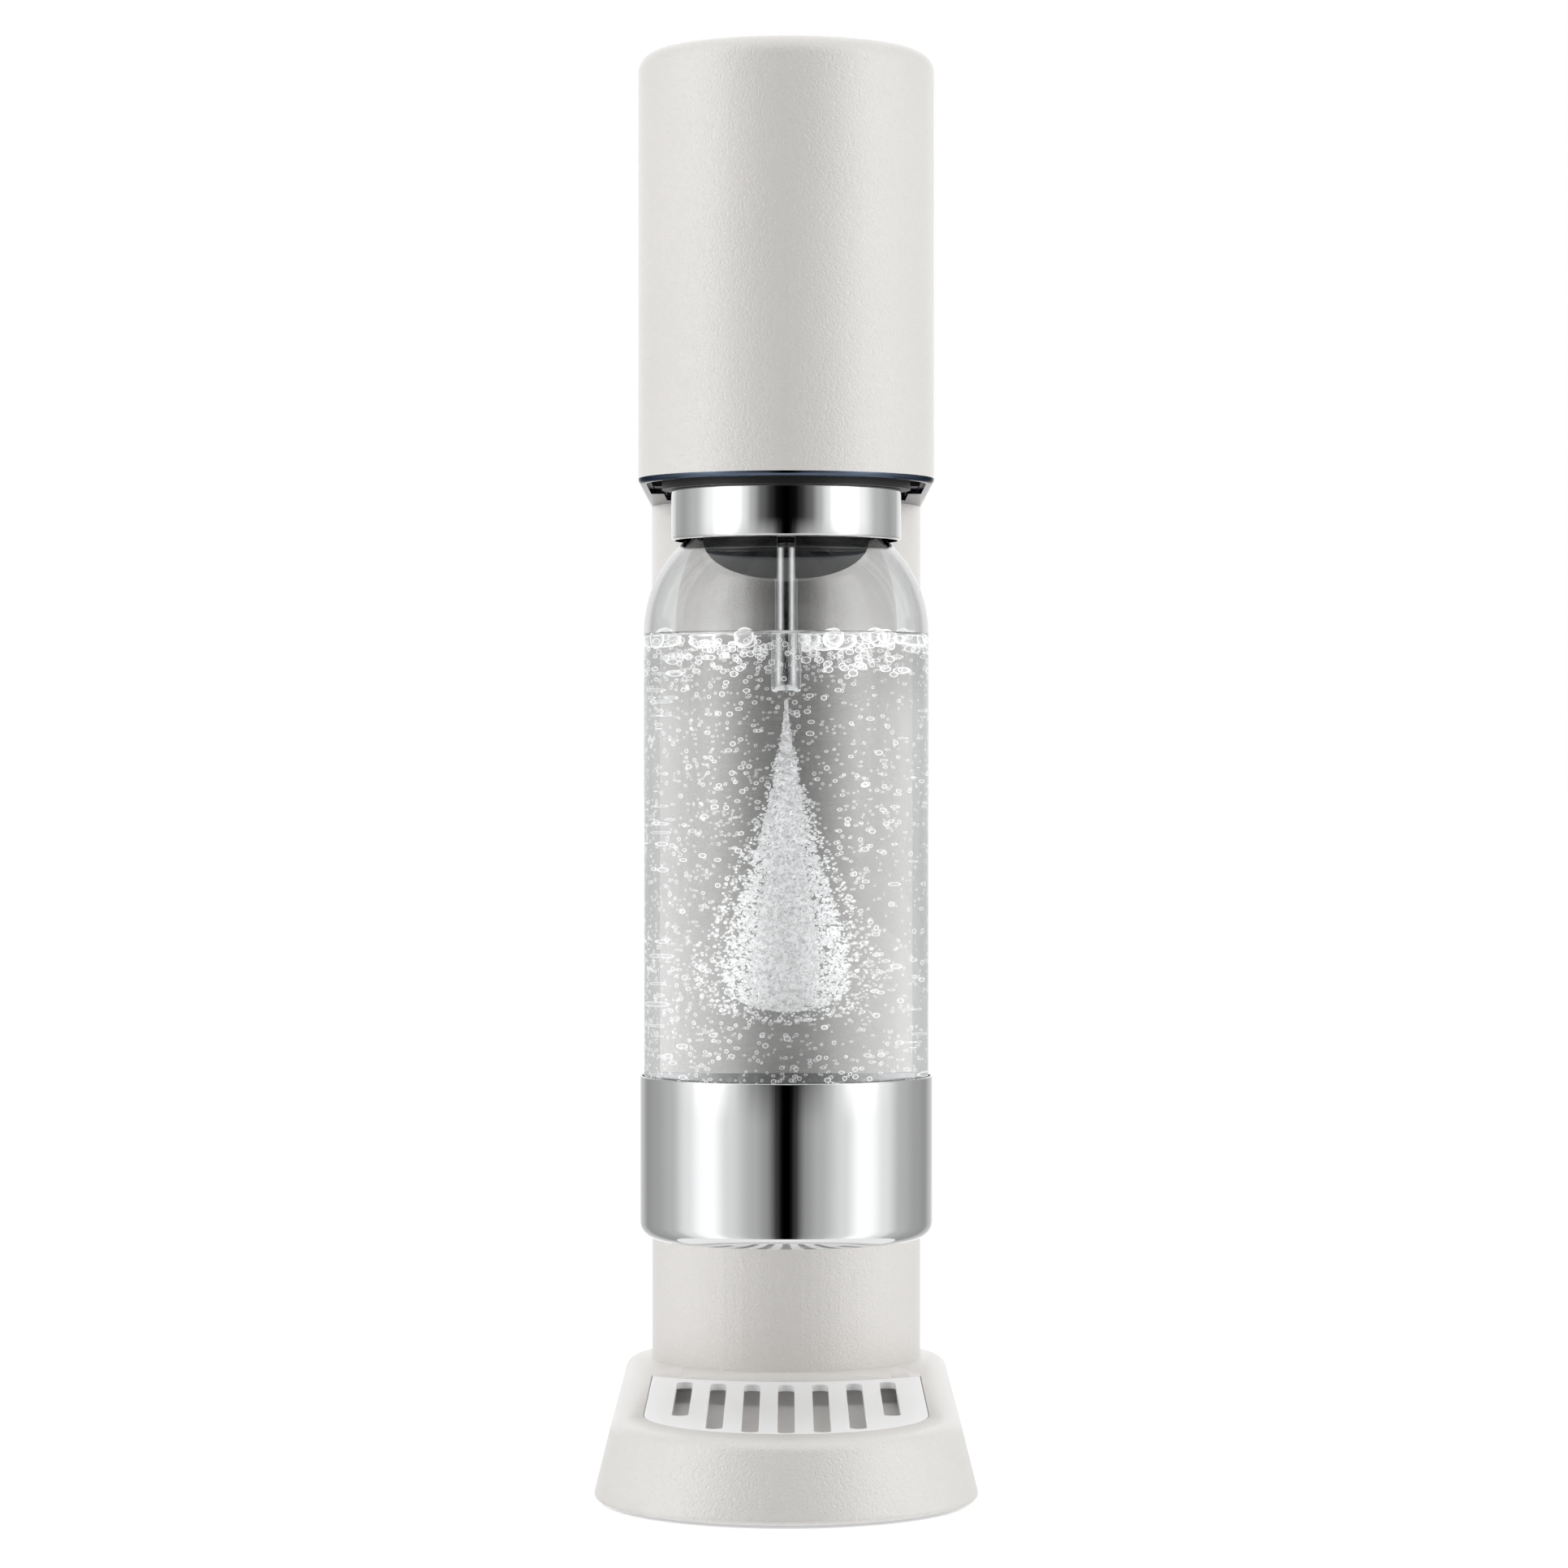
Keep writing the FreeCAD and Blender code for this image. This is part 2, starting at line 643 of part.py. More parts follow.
def build_holder(rail_in):
    """The tilting holder: ring with ears, collar, stopper, seal, nozzle and its pipe."""
    rim = MOUTH + 1.3
    top = MOUTH + S.holder_height
    ring_r = COLLAR + S.holder_margin
    throat = NECK + 2
    ceiling = MOUTH + 4
    body = lathe(
        [(S.tube_radius, ceiling), (throat, ceiling), (throat, rim), (ring_r, rim),
         (ring_r, top - 6), (ring_r - 12, top), (S.tube_radius, top)], BOTTLE)
    ear_x = (rail_in - 5, rail_in - FREE)
    ears = []
    for side in (-1, 1):
        x = ear_x if side > 0 else (-ear_x[1], -ear_x[0])
        eye = rod_x(Length(6), x[0], x[1], PIVOT_Y, PIVOT_Z)
        y = (BOTTLE + 6, PIVOT_Y)
        arm = block(x, y, (PIVOT_Z - 6, PIVOT_Z + 2))
        hole = rod_x(S.pin_radius + S.run_fit, x[0] - 1, x[1] + 1, PIVOT_Y, PIVOT_Z)
        ears.append(cut(fuse(eye, arm), hole))
    keep(fuse(body, *ears), "holder_ring")

    collar_low = rim - S.collar_height
    collar = lathe(
        [(COLLAR - S.collar_wall, collar_low), (COLLAR - S.collar_edge, collar_low),
         (COLLAR - S.collar_edge * 0.3, collar_low + S.collar_edge * 0.3),
         (COLLAR, collar_low + S.collar_edge), (COLLAR, rim),
         (COLLAR - S.collar_wall, rim)], BOTTLE)
    keep(collar, "collar")

    depth = collar_low - MOUTH + S.stopper_drop
    spread = STOPPER - S.tube_radius
    bowl = []
    for step in range(STOPPER_STEPS):
        angle = math.pi / 2 * step / STOPPER_STEPS
        radius = S.tube_radius + spread * math.cos(angle)
        bowl.append((radius, collar_low - depth * math.sin(angle)))
    low = MOUTH - S.stopper_drop
    stopper = lathe(
        [(S.tube_radius, ceiling), (STOPPER, ceiling), *bowl, (S.tube_radius, low)], BOTTLE)
    clear = STOPPER + 1
    front = block((-clear, clear), (BOTTLE - clear, BOTTLE), (low - 1, collar_low + 2))
    keep(cut(stopper, front), "stopper")

    seal = ring(throat - FREE, STOPPER + FREE, MOUTH + 0.4, ceiling, BOTTLE)
    keep(seal, "bottle_seal")

    bore = S.tube_radius - 0.8
    tip_top = MOUTH - S.tube_drop + 4
    keep(ring(S.tube_radius, bore, tip_top, top + 4, BOTTLE), "nozzle_tube")
    jet = 0.6
    tip = lathe(
        [(jet, tip_top - 4), (S.tube_radius - 1, tip_top - 4), (S.tube_radius, tip_top - 3),
         (S.tube_radius, tip_top), (jet, tip_top)], BOTTLE)
    keep(tip, "nozzle_tip")

    pipe_r = Length(1.6)
    pipe_z = top + 6
    span = (pipe_z - pipe_r, pipe_z + pipe_r)
    riser_x = -ear_x[0] - 1.8
    riser_y = BOTTLE + 12
    head = rod(S.tube_radius + 1.2, top + 4, top + 8, 0, BOTTLE)
    run = rod_x(pipe_r, riser_x, Length(0), BOTTLE, pipe_z)
    riser = rod(pipe_r, PIVOT_Z + 2, span[1], riser_x, riser_y)
    link = block((riser_x - pipe_r, riser_x + pipe_r), (BOTTLE - pipe_r, riser_y), span)
    keep(fuse(head, run, riser, link), "holder_pipe")


def glass_shape():
    """The bottle as a turned shell: straight body, elliptic shoulder, short neck."""
    wall = S.bottle_wall.value

    def profile(inset, floor, top):
        radius = S.bottle_radius.value - inset
        rise = S.shoulder_rise.value - inset * 0.4
        inward = S.shoulder_inset.value
        neck = NECK.value - inset
        bend = SHOULDER.value
        corner = 6.0 - inset
        points = []
        reach = 1 - (radius - neck) / inward
        end = rise * math.sqrt(1 - reach * reach)
        for step in range(13):
            height = end * math.sin(math.pi / 2 * step / 12)
            fraction = max(0.0, 1 - (height / rise) ** 2)
            points.append(FreeCAD.Vector(radius - inward * (1 - math.sqrt(fraction)), 0, bend + height))
        slope = Part.BSplineCurve()
        slope.interpolate(points)
        foot = FreeCAD.Vector(radius - corner, 0, floor)
        middle = FreeCAD.Vector(radius - corner * 0.2929, 0, floor + corner * 0.2929)
        side = FreeCAD.Vector(radius, 0, floor + corner)
        axis_low = FreeCAD.Vector(0, 0, floor)
        neck_top = FreeCAD.Vector(neck, 0, top)
        axis_top = FreeCAD.Vector(0, 0, top)
        edges = [
            Part.makeLine(axis_low, foot),
            Part.Arc(foot, middle, side).toShape(),
            Part.makeLine(side, points[0]),
            slope.toShape(),
            Part.makeLine(points[-1], neck_top),
            Part.makeLine(neck_top, axis_top),
            Part.makeLine(axis_top, axis_low),
        ]
        face = Part.Face(Part.Wire(edges))
        return face.revolve(FreeCAD.Vector(0, 0, 0), FreeCAD.Vector(0, 0, 1), 360)

    outside = profile(0.0, GLASS_LOW.value, MOUTH.value)
    inside = profile(wall, GLASS_LOW.value + S.bottle_base.value, MOUTH.value + 1)
    return outside.cut(inside)


def build_bottle():
    """The bottle, its steel cup and the rubber pad between them."""
    glass = doc.addObject("Part::Feature", "glass")
    glass.Shape = glass_shape()
    place(glass, 0, BOTTLE, 0)
    keep(glass, "bottle")

    inner = CUP - S.cup_wall
    high = S.cup_height
    cup = lathe([(0, 0), (CUP, 0), (CUP, high), (0, high)], BOTTLE, CUP_LOW)
    round_edges(cup, S.cup_corner, 0)
    cavity = lathe([(0, S.cup_wall), (inner, S.cup_wall), (inner, high + 1), (0, high + 1)],
                   BOTTLE, CUP_LOW)
    round_edges(cavity, S.cup_corner - S.cup_wall, S.cup_wall)
    keep(cut(cup, cavity), "bottle_cup")

    pad_low = CUP_LOW + S.cup_wall
    keep(rod(S.bottle_radius - 7, pad_low, GLASS_LOW, 0, BOTTLE), "cup_pad")


def build_gas():
    """Gas cylinder, its valve and collar, and the valve group that it seals against."""
    gas_low = DECK + 2.5 + S.gas_travel
    valve_top = BLOCK_LOW - FREE
    neck_z = valve_top - 38
    shoulder_z = neck_z - 20
    wall = S.gas_wall
    shell = lathe(
        [(0, gas_low), (GAS - 4, gas_low), (GAS, gas_low + 4),
         (GAS, shoulder_z), (GAS - 6, shoulder_z + 11),
         (S.gas_neck, neck_z), (S.gas_neck, neck_z + 4), (S.gas_neck - wall, neck_z + 4),
         (S.gas_neck - wall, neck_z - 2), (GAS - 7, shoulder_z + 9),
         (GAS - wall, shoulder_z - 1), (GAS - wall, gas_low + 5),
         (GAS - 5, gas_low + wall), (0, gas_low + wall)], COLUMN)
    keep(shell, "gas_cylinder")
    valve = lathe(
        [(0, neck_z - 4), (S.gas_neck - wall, neck_z - 4), (S.gas_neck - wall, neck_z + 4),
         (S.gas_neck, neck_z + 4), (S.gas_neck, neck_z + 26), (S.gas_neck - 5, neck_z + 28),
         (S.gas_neck - 5, valve_top), (0, valve_top)], COLUMN)
    keep(valve, "cylinder_valve")
    collar = ring(S.gas_neck + 5, S.gas_neck, neck_z + 10, neck_z + 16, COLUMN)
    keep(collar, "cylinder_collar")

    pin_r = S.screw_radius
    bore = pin_r + 0.1
    block_r = S.valve_radius
    body = lathe(
        [(bore, BLOCK_LOW + 2), (block_r - 3, BLOCK_LOW + 2), (block_r - 3, BLOCK_LOW),
         (block_r, BLOCK_LOW), (block_r, BLOCK_TOP), (bore, BLOCK_TOP)], COLUMN)
    relief_z = BLOCK_LOW + S.valve_height / 2
    socket = rod_turned(Length(4), COLUMN - block_r - 1, COLUMN - block_r + 5, relief_z)
    fitting_z = BLOCK_TOP - 4.6
    fitting = rod_x(Length(2.6), -block_r - 7, -block_r + 3, COLUMN, fitting_z)
    keep(cut(body, socket, fitting), "valve_block")
    keep(fitting, "hose_fitting")
    keep(ring(block_r - 3, pin_r + 1, BLOCK_LOW, BLOCK_LOW + 2, COLUMN), "valve_seal")
    keep(rod(pin_r, BLOCK_LOW + 4, ROCKER_LOW - FREE, 0, COLUMN), "valve_pin")

    out = COLUMN - block_r + 5
    case = rod_turned(Length(4), out - 18, out, relief_z)
    bore_cut = rod_turned(Length(2.8), out - 16, out + 1, relief_z)
    nose_cut = rod_turned(Length(1.7), out - 19, out, relief_z)
    keep(cut(case, bore_cut, nose_cut), "relief_body")
    keep(rod_turned(Length(2.4), out - 2.5, out - 0.5, relief_z), "relief_poppet")
    coil(Length(1.9), Length(0.35), 12.4, 7, (0, out - 2.95, relief_z), TO_FRONT, "relief_spring")

    leg_out = COLUMN_IN - 2.5
    leg_in = leg_out - S.rail_thick
    plate = block((-leg_out, leg_out), (COLUMN - 18, COLUMN + 7), (BLOCK_LOW, BLOCK_LOW + 3))
    opening = rod(block_r, BLOCK_LOW - 1, BLOCK_LOW + 4, 0, COLUMN)
    leg_low = TRIM_TOP + S.rail_thick
    legs = [block((x, x + S.rail_thick), (COLUMN - 11, COLUMN - 1), (leg_low, BLOCK_LOW))
            for x in (leg_in, -leg_out)]
    keep(cut(fuse(plate, *legs), opening), "valve_bridge")

    lever_z = valve_top - 15
    reach = COLUMN_IN - S.lever_margin
    outer = S.lever_inner + S.lever_thick
    cheek_in = outer + FREE
    cheeks = []
    holes = []
    for side in (-1, 1):
        x = (cheek_in, cheek_in + 3) if side > 0 else (-cheek_in - 3, -cheek_in)
        cheeks.append(block(x, (COLUMN - 6, COLUMN + 4), (lever_z - 6, BLOCK_LOW)))
        holes.append(rod_x(Length(2), x[0] - 1, x[1] + 1, COLUMN, lever_z))
    keep(group(*[cut(cheek, hole) for cheek, hole in zip(cheeks, holes)]), "lever_bracket")
    pins = []
    for side in (-1, 1):
        x = (S.lever_inner - 1, cheek_in + 3) if side > 0 else (-cheek_in - 3, 1 - S.lever_inner)
        pins.append(rod_x(Length(2), x[0], x[1], COLUMN, lever_z))
    keep(group(*pins), "lever_pins")

    arms = []
    bores = []
    for side in (-1, 1):
        x = (S.lever_inner, outer) if side > 0 else (-outer, -S.lever_inner)
        arms.append(rod_x(Length(6), x[0], x[1], COLUMN, lever_z))
        arms.append(block(x, (COLUMN, COLUMN + reach), (lever_z - 3, lever_z + 3)))
        bores.append(rod_x(2 + S.run_fit, x[0] - 1, x[1] + 1, COLUMN, lever_z))
    bar = rod_x(Length(3), -outer, outer, COLUMN + reach, lever_z)
    keep(cut(fuse(*arms, bar), *bores), "release_lever")
    return fitting


def rod_turned(radius, front, rear, z):
    """A cylinder lying along the machine between two y positions."""
    cylinder = doc.addObject("Part::Cylinder", "longrod")
    bind(cylinder, "Radius", radius)
    bind(cylinder, "Height", rear - front)
    return place(cylinder, 0, rear, z, TO_FRONT)


def coil(radius, wire, length, turns, spot, turn, name):
    """A round-wire compression spring whose axis starts at a spot."""
    path = doc.addObject("Part::Helix", "path")
    bind(path, "Radius", radius)
    bind(path, "Height", length)
    bind(path, "Pitch", as_length(length) / turns)
    path.SegmentLength = 1
    doc.recompute()
    circle = doc.addObject("Part::Circle", "wire")
    bind(circle, "Radius", wire)
    place(circle, radius, 0, 0, TO_FRONT)
    spring = doc.addObject("Part::Sweep", "coil")
    spring.Sections = [circle]
    spring.Spine = (path, [f"Edge{index + 1}" for index in range(len(path.Shape.Edges))])
    spring.Solid = True
    spring.Frenet = True
    place(spring, *spot, turn)
    return keep(spring, name)


def build_button():
    """Button, housing, spring and the rocker that carries the push to the valve pin."""
    stem_low = ROCKER_TOP + 0.4
    stem_r = 4
    skirt_in = BUTTON - 2
    button = lathe(
        [(0, stem_low), (stem_r, stem_low), (stem_r, CAP_LOW), (skirt_in, CAP_LOW),
         (skirt_in, SKIRT_LOW), (BUTTON, SKIRT_LOW), (BUTTON, CAP_TOP - 0.8),
         (BUTTON - 0.8, CAP_TOP), (0, CAP_TOP - 0.6)], BOTTLE)
    keep(button, "button")
    bore = BUTTON + S.button_gap
    outer = bore + S.housing_wall
    hole_r = stem_r + 0.1
    housing = lathe(
        [(hole_r, FLOOR_LOW), (outer, FLOOR_LOW), (outer, ROOF_LOW), (bore, ROOF_LOW),
         (bore, FLOOR_TOP), (hole_r, FLOOR_TOP)], BOTTLE)
    keep(housing, "button_housing")
    wire = 0.6
    seat = FLOOR_TOP + wire + 0.1
    rise = CAP_LOW - seat - wire - 0.1
    coil(Length(12), Length(wire), rise, 4, (0, BOTTLE, seat), None, "button_spring")

    pivot_z = ROCKER_LOW + S.rocker_thick / 2
    half = S.rocker_width / 2
    pin_r = S.screw_radius
    beam = block((-half, half), (BOTTLE - 6, ROCKER_Y), (ROCKER_LOW, ROCKER_TOP))
    eye = rod_x(S.rocker_thick / 2, -half, half, ROCKER_Y, pivot_z)
    hole = rod_x(pin_r + S.run_fit, -half - 1, half + 1, ROCKER_Y, pivot_z)
    keep(cut(fuse(beam, eye), hole), "rocker")
    hanger_in = half + FREE
    hanger_out = hanger_in + 3
    keep(rod_x(pin_r, -hanger_out, hanger_out, ROCKER_Y, pivot_z), "rocker_pin")
    hangers = []
    for x in ((hanger_in, hanger_out), (-hanger_out, -hanger_in)):
        post = block(x, (ROCKER_Y - 3, ROCKER_Y + 3), (pivot_z - 3, ROOF_LOW))
        hangers.append(cut(post, rod_x(pin_r, x[0] - 1, x[1] + 1, ROCKER_Y, pivot_z)))
    keep(group(*hangers), "rocker_hangers")


def build_hose(pin_end, fitting):
    """The gas hose from the valve block's fitting down to an elbow on the left tilt pin."""
    elbow_x = -pin_end + 4
    arm = rod_x(Length(4), -pin_end, -pin_end + 8, PIVOT_Y, PIVOT_Z)
    socket = doc.addObject("Part::Cylinder", "socket")
    bind(socket, "Radius", 3)
    bind(socket, "Height", 9)
    place(socket, elbow_x, PIVOT_Y + 9, PIVOT_Z, TO_FRONT)
    elbow = keep(fuse(arm, socket), "hose_elbow")

    x = -S.valve_radius.value - 7
    y = COLUMN.value
    z = BLOCK_TOP.value - 4.6
    low_x, low_y, low_z = elbow_x.value, PIVOT_Y.value + 9, PIVOT_Z.value
    points = [
        (x, y, z),
        (x - 4, y - 1, z),
        (x - 7, y - 8, z),
        (x - 7, y - 24, z - 1),
        (x - 7, y - 34, z - 12),
        (low_x - 1, LINER_BACK.value + 16, (z + low_z) / 2),
        (low_x, low_y + 14, low_z + 8),
        (low_x, low_y + 4, low_z + 0.4),
        (low_x, low_y, low_z),
    ]
    line = Part.BSplineCurve()
    line.interpolate([FreeCAD.Vector(*point) for point in points])
    start = FreeCAD.Vector(*points[0])
    spine = Part.Wire(line.toShape())
    section = Part.Wire(Part.makeCircle(2.2, start, line.tangent(line.FirstParameter)[0]))
    hose = doc.addObject("Part::Feature", "hose")
    hose.Shape = spine.makePipeShell([section], True, True)
    place(hose, 0, 0, 0)
    keep(cut(hose, elbow, fitting), "gas_hose")


anchors = build_base()
build_grille()
build_column(anchors)
inner_rail, pin_inner_end = build_head()
build_holder(inner_rail)
build_bottle()
hose_fitting = build_gas()
build_button()
build_hose(pin_inner_end, hose_fitting)
doc.recompute()

os.makedirs("parts", exist_ok=True)
for thing in doc.Objects:
    bad = {"Invalid", "Error"}.intersection(thing.State)
    if bad:
        raise RuntimeError(f"{thing.Label} ({thing.Name}): {thing.State}")
for node in nodes:
    if node.Shape.isNull() or not node.Shape.isValid():
        raise RuntimeError(f"{node.Label} has no valid shape")
    node.Shape.exportStep(os.path.join("parts", f"{node.Label}.step"))
    box = node.Shape.BoundBox
    print(f"{node.Label:16s} solids {len(node.Shape.Solids)} volume {node.Shape.Volume:10.1f} "
          f"x {box.XMin:.1f}..{box.XMax:.1f} y {box.YMin:.1f}..{box.YMax:.1f} "
          f"z {box.ZMin:.1f}..{box.ZMax:.1f}")
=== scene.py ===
"""Looks of a countertop soda carbonator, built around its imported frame.

Everything is in metres in the frame's own axes: +Z is up and the bottle stands at the
front, towards -Y. Each sub-assembly is a class, each finish is a frozen dataclass.
"""

from __future__ import annotations

import json
import logging
import math
from dataclasses import dataclass, field
from enum import Enum
from typing import ClassVar, Iterable, Sequence

import bmesh
import bpy
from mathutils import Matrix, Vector

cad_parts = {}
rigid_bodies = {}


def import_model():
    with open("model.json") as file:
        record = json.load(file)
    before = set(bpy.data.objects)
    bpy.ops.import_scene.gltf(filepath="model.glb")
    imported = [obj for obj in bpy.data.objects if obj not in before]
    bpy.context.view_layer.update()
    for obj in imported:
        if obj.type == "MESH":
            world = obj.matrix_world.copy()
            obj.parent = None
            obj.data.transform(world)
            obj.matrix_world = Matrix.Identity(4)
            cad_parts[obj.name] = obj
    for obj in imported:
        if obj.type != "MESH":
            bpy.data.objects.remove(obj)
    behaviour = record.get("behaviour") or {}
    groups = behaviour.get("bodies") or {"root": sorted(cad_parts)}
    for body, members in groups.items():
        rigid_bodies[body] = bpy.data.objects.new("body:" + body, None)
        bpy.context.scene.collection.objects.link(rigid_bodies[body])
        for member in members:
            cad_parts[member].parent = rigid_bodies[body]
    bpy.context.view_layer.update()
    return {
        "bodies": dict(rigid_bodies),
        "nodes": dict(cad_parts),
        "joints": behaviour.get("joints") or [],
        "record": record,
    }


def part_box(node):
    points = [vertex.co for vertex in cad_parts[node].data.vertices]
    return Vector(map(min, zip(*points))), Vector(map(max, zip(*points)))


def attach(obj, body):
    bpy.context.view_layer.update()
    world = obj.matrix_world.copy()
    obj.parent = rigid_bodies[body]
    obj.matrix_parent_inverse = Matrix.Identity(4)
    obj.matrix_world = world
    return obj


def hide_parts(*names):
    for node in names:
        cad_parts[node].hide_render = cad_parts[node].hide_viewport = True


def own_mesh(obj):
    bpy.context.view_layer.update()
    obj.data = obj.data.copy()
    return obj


LOG = logging.getLogger("carbonator")
MM = 0.001
Profile = list[tuple[float, float]]
Socket = bpy.types.NodeSocket
Glow = Sequence[tuple[float, float]]


class Slot(Enum):
    """The record's material slots that new pieces take their finish from."""

    SHELL = "shell_white"
    STEEL = "polished_steel"
    TRIM = "trim_mirror"
    GRILLE = "grille_steel"
    TRAY = "tray_grey"
    GLASS = "clear_bottle"
    DARK = "dark_plastic"
    GREY = "grey_plastic"
    RUBBER = "black_rubber"
    ZINC = "zinc_steel"
    BRASS = "brass"
    GAS = "gas_paint"
    RELEASE = "release_blue"
    WEIGHT = "cast_weight"


class Spread(Enum):
    """How a swarm of bubbles fills its round space."""

    COLUMN = 0.0
    PLUME = 1.0


# --------------------------------------------------------------------------- shader tools


def new_material(name: str) -> tuple[bpy.types.Material, bpy.types.NodeTree, bpy.types.Node]:
    """Make an empty node material.

    Args:
        name: The material's name.

    Returns:
        The material, its node tree and its Principled BSDF.
    """
    material = bpy.data.materials.new(name)
    material.use_nodes = True
    tree = material.node_tree
    tree.nodes.clear()
    output = tree.nodes.new("ShaderNodeOutputMaterial")
    shader = tree.nodes.new("ShaderNodeBsdfPrincipled")
    tree.links.new(shader.outputs["BSDF"], output.inputs["Surface"])
    return material, tree, shader


def add_group(tree: bpy.types.NodeTree, group: bpy.types.NodeTree, **values: float) -> bpy.types.Node:
    """Place a node group that reads the piece's Object coordinates.

    Args:
        tree: The material's node tree.
        group: The group to place.
        values: Its inputs by name, with underscores for spaces.

    Returns:
        The placed group node.
    """
    node = tree.nodes.new("ShaderNodeGroup")
    node.node_tree = group
    place = tree.nodes.new("ShaderNodeTexCoord")
    tree.links.new(place.outputs["Object"], node.inputs["Position"])
    for key, value in values.items():
        node.inputs[key.replace("_", " ")].default_value = value
    return node


def group_shell(name: str, inputs: dict[str, float], outputs: Sequence[str]) -> tuple:
    """Start a shader node group with a Position input and float sockets.

    Args:
        name: The group's name.
        inputs: Float inputs and their defaults.
        outputs: Names of the float outputs.

    Returns:
        The group, its input node and its output node.
    """
    group = bpy.data.node_groups.new(name, "ShaderNodeTree")
    group.interface.new_socket("Position", in_out="INPUT", socket_type="NodeSocketVector")
    for key, value in inputs.items():
        socket = group.interface.new_socket(key, in_out="INPUT", socket_type="NodeSocketFloat")
        socket.default_value = value
    for key in outputs:
        group.interface.new_socket(key, in_out="OUTPUT", socket_type="NodeSocketFloat")
    return group, group.nodes.new("NodeGroupInput"), group.nodes.new("NodeGroupOutput")


def math_node(tree: bpy.types.NodeTree, operation: str, first: float | Socket,
              second: float | Socket | None = None, third: float | Socket | None = None) -> Socket:
    """Add a Math node whose inputs are sockets or numbers.

    Args:
        tree: The tree to add to.
        operation: Blender's name for the sum.
        first: First input.
        second: Second input, if any.
        third: Third input, if any.

    Returns:
        The node's output socket.
    """
    node = tree.nodes.new("ShaderNodeMath")
    node.operation = operation
    for index, value in enumerate((first, second, third)):
        if isinstance(value, Socket):
            tree.links.new(value, node.inputs[index])
        elif value is not None:
            node.inputs[index].default_value = value
    return node.outputs[0]


def noise(tree: bpy.types.NodeTree, position: Socket, scale: float | Socket,
          detail: float = 2.0, rough: float = 0.5) -> Socket:
    """Add a noise texture.

    Args:
        tree: The tree to add to.
        position: Where the noise is read.
        scale: Its scale, as a number or a socket.
        detail: How many finer layers it has.
        rough: How strong the finer layers are.

    Returns:
        Its Factor socket.
    """
    node = tree.nodes.new("ShaderNodeTexNoise")
    tree.links.new(position, node.inputs["Vector"])
    if isinstance(scale, Socket):
        tree.links.new(scale, node.inputs["Scale"])
    else:
        node.inputs["Scale"].default_value = scale
    node.inputs["Detail"].default_value = detail
    node.inputs["Roughness"].default_value = rough
    return node.outputs["Factor" if "Factor" in node.outputs else "Fac"]


